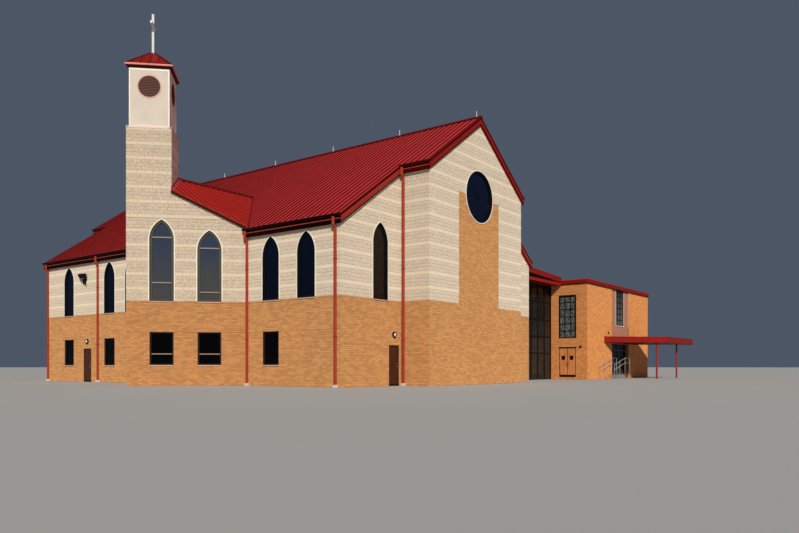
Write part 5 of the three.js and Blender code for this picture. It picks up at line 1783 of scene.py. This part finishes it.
def build_lamps():
    """Wall lamps, the drip over the annex's side door, and the floodlights high on the left side."""
    cases, lenses = Surfaces(), Surfaces()
    for wall, across, up, scale in LAMPS:
        add_bulkhead(cases, lenses, wall, across, up, scale)
    across, up, aside, rise, yaw = FLOODLIGHTS.values()
    cases.plate(LEFT_SIDE, rectangle(across - 0.15, up - 0.36, across + 0.13, up - 0.02), -0.005, 0.14, 0.4)
    for side in (-1, 1):
        elbow, end = [across + side * 0.18, up - 0.03, 0.14], [across + side * 0.24, up + 0.10, 0.22]
        cases.hang(LEFT_SIDE, tube([[across, up - 0.06, 0.08], elbow, end], 0.02, 10), 0.4)
        add_floodlight(cases, LEFT_SIDE, across + side * aside, up + rise, side * yaw)
    arm = [[0.06, -0.30, 0.08], [0.20, -0.40, 0.12], [0.24, -0.52, 0.12]]
    cases.hang(LEFT_SIDE, tube(np.array(arm) + [across, up, 0], 0.035, 10), 0.4)
    side, low, high, relief = DRIP.values()
    top = ANNEX_DOOR["top"]
    head = rectangle(-ANNEX_DOOR["high"] - side, top + low, side - ANNEX_DOOR["low"], top + high)
    cases.plate(ANNEX_FACES["left"], head, -0.005, relief, 0.4)
    cases.piece("lamp_cases", "dark_metal", "dark_frame")
    lenses.piece("lamp_lenses", "lens", "glass")


# What each CAD node that stays in view is made of, by how the node's name ends
NODE_FINISHES = {
    "mortar": ("_wall",),
    "stucco": ("belfry",),
    "mauve_panel": ("_panel",),
    "concrete": ("_floor",),
    "roof_metal": ("main_roof_left", "main_roof_right"),
    "trim_metal": ("annex_roof", "link_roof"),
    "white_metal": ("_cross",),
    "louvre": ("_louvres",),
    "brown_frame": ("_door_frame",),
    "brown_door": ("front_left_door", "left_side_door"),
    "wood_door": ("annex_door_left", "annex_door_right"),
    "dark_glass": ("_glass",),
    "navy_glass": ("_round_window",),
    "brown_glass": ("_shoulder_window",),
    "link_glass": ("_glazing",),
    "lead": ("_leaded_window",),
}


# Stage

CAMERA_PLACE = (-38.1, -39.4, 1.09)
SENSOR_WIDTH = 36
FARTHEST_SEEN = 1000
FLOOR_REACH = 400.0
FLOOR_DROP = 0.004
FLOOR_GREY = srgb(196, 194, 190)
SUN_WIDTH = 5
SUN_COLOUR = (1.0, 0.95, 0.87)
EVEN_COLOUR = (0.56, 0.72, 1.0, 1)


def make_floor():
    """A wide pale floor just under the building."""
    corners = raised(rectangle(-FLOOR_REACH, -FLOOR_REACH, FLOOR_REACH, FLOOR_REACH), 0)
    mesh = bpy.data.meshes.new("floor")
    mesh.from_pydata(corners.tolist(), [], [(0, 1, 2, 3)])
    made = Finish("floor_paint", 0.9)
    made.put("Base Color", made.blend(made.noise(6.0, 3.0), FLOOR_GREY, shade(FLOOR_GREY, 0.94)))
    mesh.materials.append(made.material)
    floor = bpy.data.objects.new("floor", mesh)
    floor.location.z = -FLOOR_DROP
    return floor


def make_sun(settings):
    """A warm sun with a soft edge."""
    sun = bpy.data.objects.new("sun", bpy.data.lights.new("sun", "SUN"))
    sun.data.energy = settings.sun
    sun.data.angle = math.radians(SUN_WIDTH)
    sun.data.color = SUN_COLOUR
    sun.rotation_euler = (math.pi / 2 - settings.sun_height, 0, settings.sun_heading + math.pi / 2)
    return sun


def make_camera(settings):
    """A level camera with its lens shifted up."""
    camera = bpy.data.objects.new("camera", bpy.data.cameras.new("camera"))
    camera.data.lens = settings.lens
    camera.data.sensor_width = SENSOR_WIDTH
    camera.data.shift_y = settings.shift
    camera.data.clip_end = FARTHEST_SEEN
    camera.location = Vector(CAMERA_PLACE) * METRE
    camera.rotation_euler = (math.pi / 2, 0, settings.heading - math.pi / 2)
    return camera


# Add-on


def length(name, description, default):
    """A length setting in real metres."""
    return bpy.props.FloatProperty(name=name, description=description, default=default, min=0, unit="LENGTH")


class ChurchMasonry(bpy.types.PropertyGroup):
    brick_course: length("Brick course", "Height of a brick with its bed joint", 0.1016)
    brick_length: length("Brick length", "Length of a brick with its head joint", 0.3048)
    block_course: length("Block course", "Height of a block with its bed joint", 0.2032)
    block_length: length("Block length", "Length of a block with its head joint", 0.4064)
    joint: length("Joint", "Width of the mortar joints", 0.010)
    brick_relief: length("Brick relief", "How far bricks stand out of the mortar", 0.008)
    block_relief: length("Block relief", "How far the rock faces stand out at most", 0.018)
    band_relief: length("Band relief", "How far the smooth band blocks stand out", 0.012)


class ChurchRoof(bpy.types.PropertyGroup):
    seam_spacing: length("Seam spacing", "Distance between standing seams", 0.43)
    seam_width: length("Seam width", "Width of a standing seam", 0.03)
    seam_height: length("Seam height", "Height of a standing seam", 0.05)
    rod_spacing: length("Rod spacing", "Distance between lightning rods", 5.9)
    rod_height: length("Rod height", "Height of a lightning rod", 0.34)


class ChurchWindows(bpy.types.PropertyGroup):
    pane_depth: length("Pane depth", "How far the glass lies behind the wall's face", PANE_DEPTH)
    trim_relief: length("Trim relief", "How far the pale bands stand out", 0.035)
    lining_relief: length("Lining relief", "How far the dark linings stand out", 0.012)
    sill_reach: length("Sill reach", "How far the sills stand out", 0.05)


def angle(name, description, degrees):
    """An angle setting, its default given in degrees."""
    return bpy.props.FloatProperty(
        name=name, description=description, default=math.radians(degrees), subtype="ANGLE")


def strength(name, description, default):
    """The strength of a light."""
    return bpy.props.FloatProperty(name=name, description=description, default=default, min=0)


class ChurchStage(bpy.types.PropertyGroup):
    lens: bpy.props.FloatProperty(
        name="Lens", description="Focal length of the camera", default=32.52, min=1,
        subtype="DISTANCE_CAMERA")
    heading: angle("Heading", "Direction the camera looks, from +X", 37.0)
    shift: bpy.props.FloatProperty(name="Shift", description="Upward shift of the lens", default=0.125)
    sun: strength("Sun", "Strength of the sun", 3.0)
    sun_heading: angle("Sun heading", "Direction of the sun, from +X", 225.4)
    sun_height: angle("Sun height", "Height of the sun over the ground", 33)
    even_light: strength("Even light", "Strength of the light from all round", 0.13)


class Builder:
    """Shared parts of the operators: each runs its build method."""

    bl_options = {"REGISTER", "UNDO"}

    def execute(self, context):
        self.build(context.scene)
        return {"FINISHED"}


class CHURCH_OT_walls(Builder, bpy.types.Operator):
    """Lay bricks and blocks on the nave, the bay and the tower"""

    bl_idname = "church.walls"
    bl_label = "Nave and Bay Masonry"

    def build(self, scene):
        finishes = {"bricks": "brick", "blocks": "block", "bands": "band"}
        groups = {
            "front_end": lambda mason: lay_end(mason, -1),
            "rear_end": lambda mason: lay_end(mason, 1),
            "left_side": lay_left,
            "right_side": lay_right,
            "bay": lay_bay,
        }
        for name, lay in groups.items():
            mason = Mason(scene.church_masonry)
            lay(mason)
            mason.finish(name, finishes, "masonry")


class CHURCH_OT_annex_walls(Builder, bpy.types.Operator):
    """Lay the annex's bricks"""

    bl_idname = "church.annex_walls"
    bl_label = "Annex Masonry"

    def build(self, scene):
        for name, faces in (("annex_front", ("front", "left")), ("annex_rear", ("right", "rear"))):
            mason = Mason(scene.church_masonry)
            lay_annex(mason, faces)
            mason.finish(name, {"bricks": "annex_brick"}, "brick")


class CHURCH_OT_windows(Builder, bpy.types.Operator):
    """Set the frames, bars, panes, trims and sills of the windows"""

    bl_idname = "church.windows"
    bl_label = "Windows"

    def build(self, scene):
        nave, low, bay = (Glazier(scene.church_windows) for _ in range(3))
        place, width, top, lining = SHOULDER_LANCET.values()
        for wall in (FRONT_SHOULDERS, REAR_SHOULDERS):
            for side in (-1, 1):
                nave.lancet(wall, side * place, width, top, pane=False, lining=lining)
        for y in LEFT_LANCETS:
            nave.lancet(LEFT_SIDE, -y, LANCET_WIDTH, LANCET_TOP)
        for y in RIGHT_WINDOWS:
            nave.lancet(RIGHT_SIDE, y, LANCET_WIDTH, LANCET_TOP)
        for wall in (FRONT_GABLE, REAR_GABLE):
            nave.round(wall, ROUND["height"], ROUND["radius"], ROUND["spokes"])
        half, heights = LOWER["width"] / 2, (LOWER["sill"], LOWER["top"])
        for places, wall, sign in ((LEFT_LOWER, LEFT_SIDE, -1), (RIGHT_WINDOWS, RIGHT_SIDE, 1)):
            for y in places:
                low.square(wall, sign * y - half, sign * y + half, *heights)
        half = BAY_WINDOW_WIDTH / 2
        for wall, sign in ((BAY_FRONT, 1), (BAY_REAR, -1)):
            for window in BAY_WINDOWS:
                place = sign * window["along"]
                low.square(wall, place - half, place + half, *heights, (LOWER_BAR,))
                bay.lancet(wall, place, BAY_WINDOW_WIDTH, window["top"], window["bars"])
        for prefix, glazier in (("lancet", nave), ("lower_window", low), ("bay_window", bay)):
            glazier.finish(prefix)


class CHURCH_OT_roofs(Builder, bpy.types.Operator):
    """Fold the seams, caps, valleys and rods of the roofs"""

    bl_idname = "church.roofs"
    bl_label = "Roofs"

    def build(self, scene):
        seams, bay_seams = build_roof_seams(scene.church_roof)
        # The seams' darker reds are painted shade.
        seams.piece("roof_seams", "seam_metal", "red_roof")
        bay_seams.piece("bay_seams", "bay_seam_metal", "red_roof")
        bay = build_bay_roof(OVERHANG, 0.0, BAY_ROOF_DEPTH)
        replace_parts(bay.piece("bay_roof_metal", "bay_roof_metal", "red_roof"), "bay_roof")
        plate = build_bay_roof(0.0, WALL_PLATE["top"], BAY_ROOF_DEPTH + WALL_PLATE["reach"])
        plate.piece("bay_wall_plate", "mortar", "masonry")
        edges, linings = build_roof_edges()
        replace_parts(edges.piece("roof_edges", "red_metal", "red_roof"), "ridge_cap")
        linings.piece("roof_linings", "lining_metal", "red_roof")
        build_rods(scene.church_roof).piece("lightning_rods", "white_metal", "white_metal")


class CHURCH_OT_eaves(Builder, bpy.types.Operator):
    """Hang the fascias, gutters and downspouts"""

    bl_idname = "church.eaves"
    bl_label = "Eaves"

    def build(self, scene):
        eaves = build_side_eaves().piece("side_eaves", "red_metal", "red_trim")
        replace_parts(eaves, "left_front_gutter", "left_rear_gutter", "right_gutter")
        for name, end, node in (("front_rakes", -1, "front_fascia"), ("rear_rakes", 1, "rear_fascia")):
            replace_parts(build_end_eaves(end).piece(name, "red_metal", "red_trim"), node)
        build_collars().piece("downspout_collars", "collar", "concrete")


class CHURCH_OT_tower(Builder, bpy.types.Operator):
    """Trim the belfry, set its louvres and roof the tower"""

    bl_idname = "church.tower"
    bl_label = "Tower"

    def build(self, scene):
        build_tower_trims().piece("tower_trims", "tower_trim", "white_metal")
        slats, shade_discs = build_louvres()
        slats.piece("louvre_slats", "louvre", "red_trim")
        shade_discs.piece("louvre_shade_discs", "dark_metal", "dark_frame")
        roof, strips = build_tower_roof()
        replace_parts(roof.piece("tower_roof_metal", "red_metal", "red_roof"), "tower_roof")
        strips.piece("tower_eave_highlight_strip", "pink_metal", "red_trim")


class CHURCH_OT_annex(Builder, bpy.types.Operator):
    """Glaze the link, and trim the annex and its canopy"""

    bl_idname = "church.annex"
    bl_label = "Link, Annex and Canopy"

    def build(self, scene):
        build_link_bars().piece("link_bars", "brown_frame", "dark_frame")
        build_link_trims().piece("link_trims", "red_metal", "red_trim")
        build_annex_trims().piece("annex_trims", "red_metal", "red_trim")
        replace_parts(build_canopy().piece("canopy_metal", "red_metal", "red_trim"), "canopy")
        frames, panes = build_leaded_window()
        frames.piece("leaded_window_frame", "dark_metal", "dark_frame")
        panes.piece("leaded_window_panes", "leaded_panes", "leaded_glass")
        glazier = Glazier(scene.church_windows)
        build_annex_window(glazier)
        glazier.finish("annex_window")
        build_entrance().piece("entrance_bars", "dull_steel", "white_metal")
        build_handrails().piece("handrails", "steel", "white_metal", smooth=True)


class CHURCH_OT_doors(Builder, bpy.types.Operator):
    """Fit the doors, the lamps and the floodlights"""

    bl_idname = "church.doors"
    bl_label = "Doors and Lamps"

    def build(self, scene):
        build_door_fittings()
        build_lamps()


class CHURCH_OT_finishes(Builder, bpy.types.Operator):
    """Give the CAD nodes that stay in view their finishes"""

    bl_idname = "church.finishes"
    bl_label = "Finishes"

    def build(self, scene):
        for name, node in frame["nodes"].items():
            for finish, endings in NODE_FINISHES.items():
                if name.endswith(endings):
                    for holder in node.material_slots:
                        holder.material = finish_for(finish)


class CHURCH_OT_stage(Builder, bpy.types.Operator):
    """Set the floor, the camera, the sun and the even light"""

    bl_idname = "church.stage"
    bl_label = "Stage"

    def build(self, scene):
        settings = scene.church_stage
        camera = make_camera(settings)
        for made in (make_floor(), make_sun(settings), camera):
            scene.collection.objects.link(made)
        scene.camera = camera
        world = bpy.data.worlds.new("even_light")
        world.use_nodes = True
        light = world.node_tree.nodes["Background"]
        light.inputs["Color"].default_value = EVEN_COLOUR
        light.inputs["Strength"].default_value = settings.even_light
        scene.world = world
        scene.view_settings.view_transform = "Standard"


class CHURCH_PT_panel(bpy.types.Panel):
    """Sizes of the church's parts and the buttons that build them"""

    bl_label = "Church"
    bl_space_type = "VIEW_3D"
    bl_region_type = "UI"
    bl_category = "Church"

    def draw(self, context):
        for title, settings in SETTINGS.items():
            box = self.layout.box()
            box.label(text=title[len("church_"):].title())
            group = getattr(context.scene, title)
            for name in settings.__annotations__:
                box.prop(group, name)
        for step in STEPS:
            self.layout.operator(step.bl_idname)


SETTINGS = {
    "church_masonry": ChurchMasonry,
    "church_roof": ChurchRoof,
    "church_windows": ChurchWindows,
    "church_stage": ChurchStage,
}
STEPS = [
    CHURCH_OT_walls, CHURCH_OT_annex_walls, CHURCH_OT_windows, CHURCH_OT_roofs, CHURCH_OT_eaves,
    CHURCH_OT_tower, CHURCH_OT_annex, CHURCH_OT_doors, CHURCH_OT_finishes, CHURCH_OT_stage,
]
CLASSES = [*SETTINGS.values(), *STEPS, CHURCH_PT_panel]


def register():
    for made in CLASSES:
        bpy.utils.register_class(made)
    for name, settings in SETTINGS.items():
        setattr(bpy.types.Scene, name, bpy.props.PointerProperty(type=settings))


def unregister():
    for name in SETTINGS:
        delattr(bpy.types.Scene, name)
    for made in reversed(CLASSES):
        bpy.utils.unregister_class(made)


def main():
    register()
    for step in STEPS:
        group, name = step.bl_idname.split(".")
        getattr(getattr(bpy.ops, group), name)()


if __name__ == "__main__":
    main()
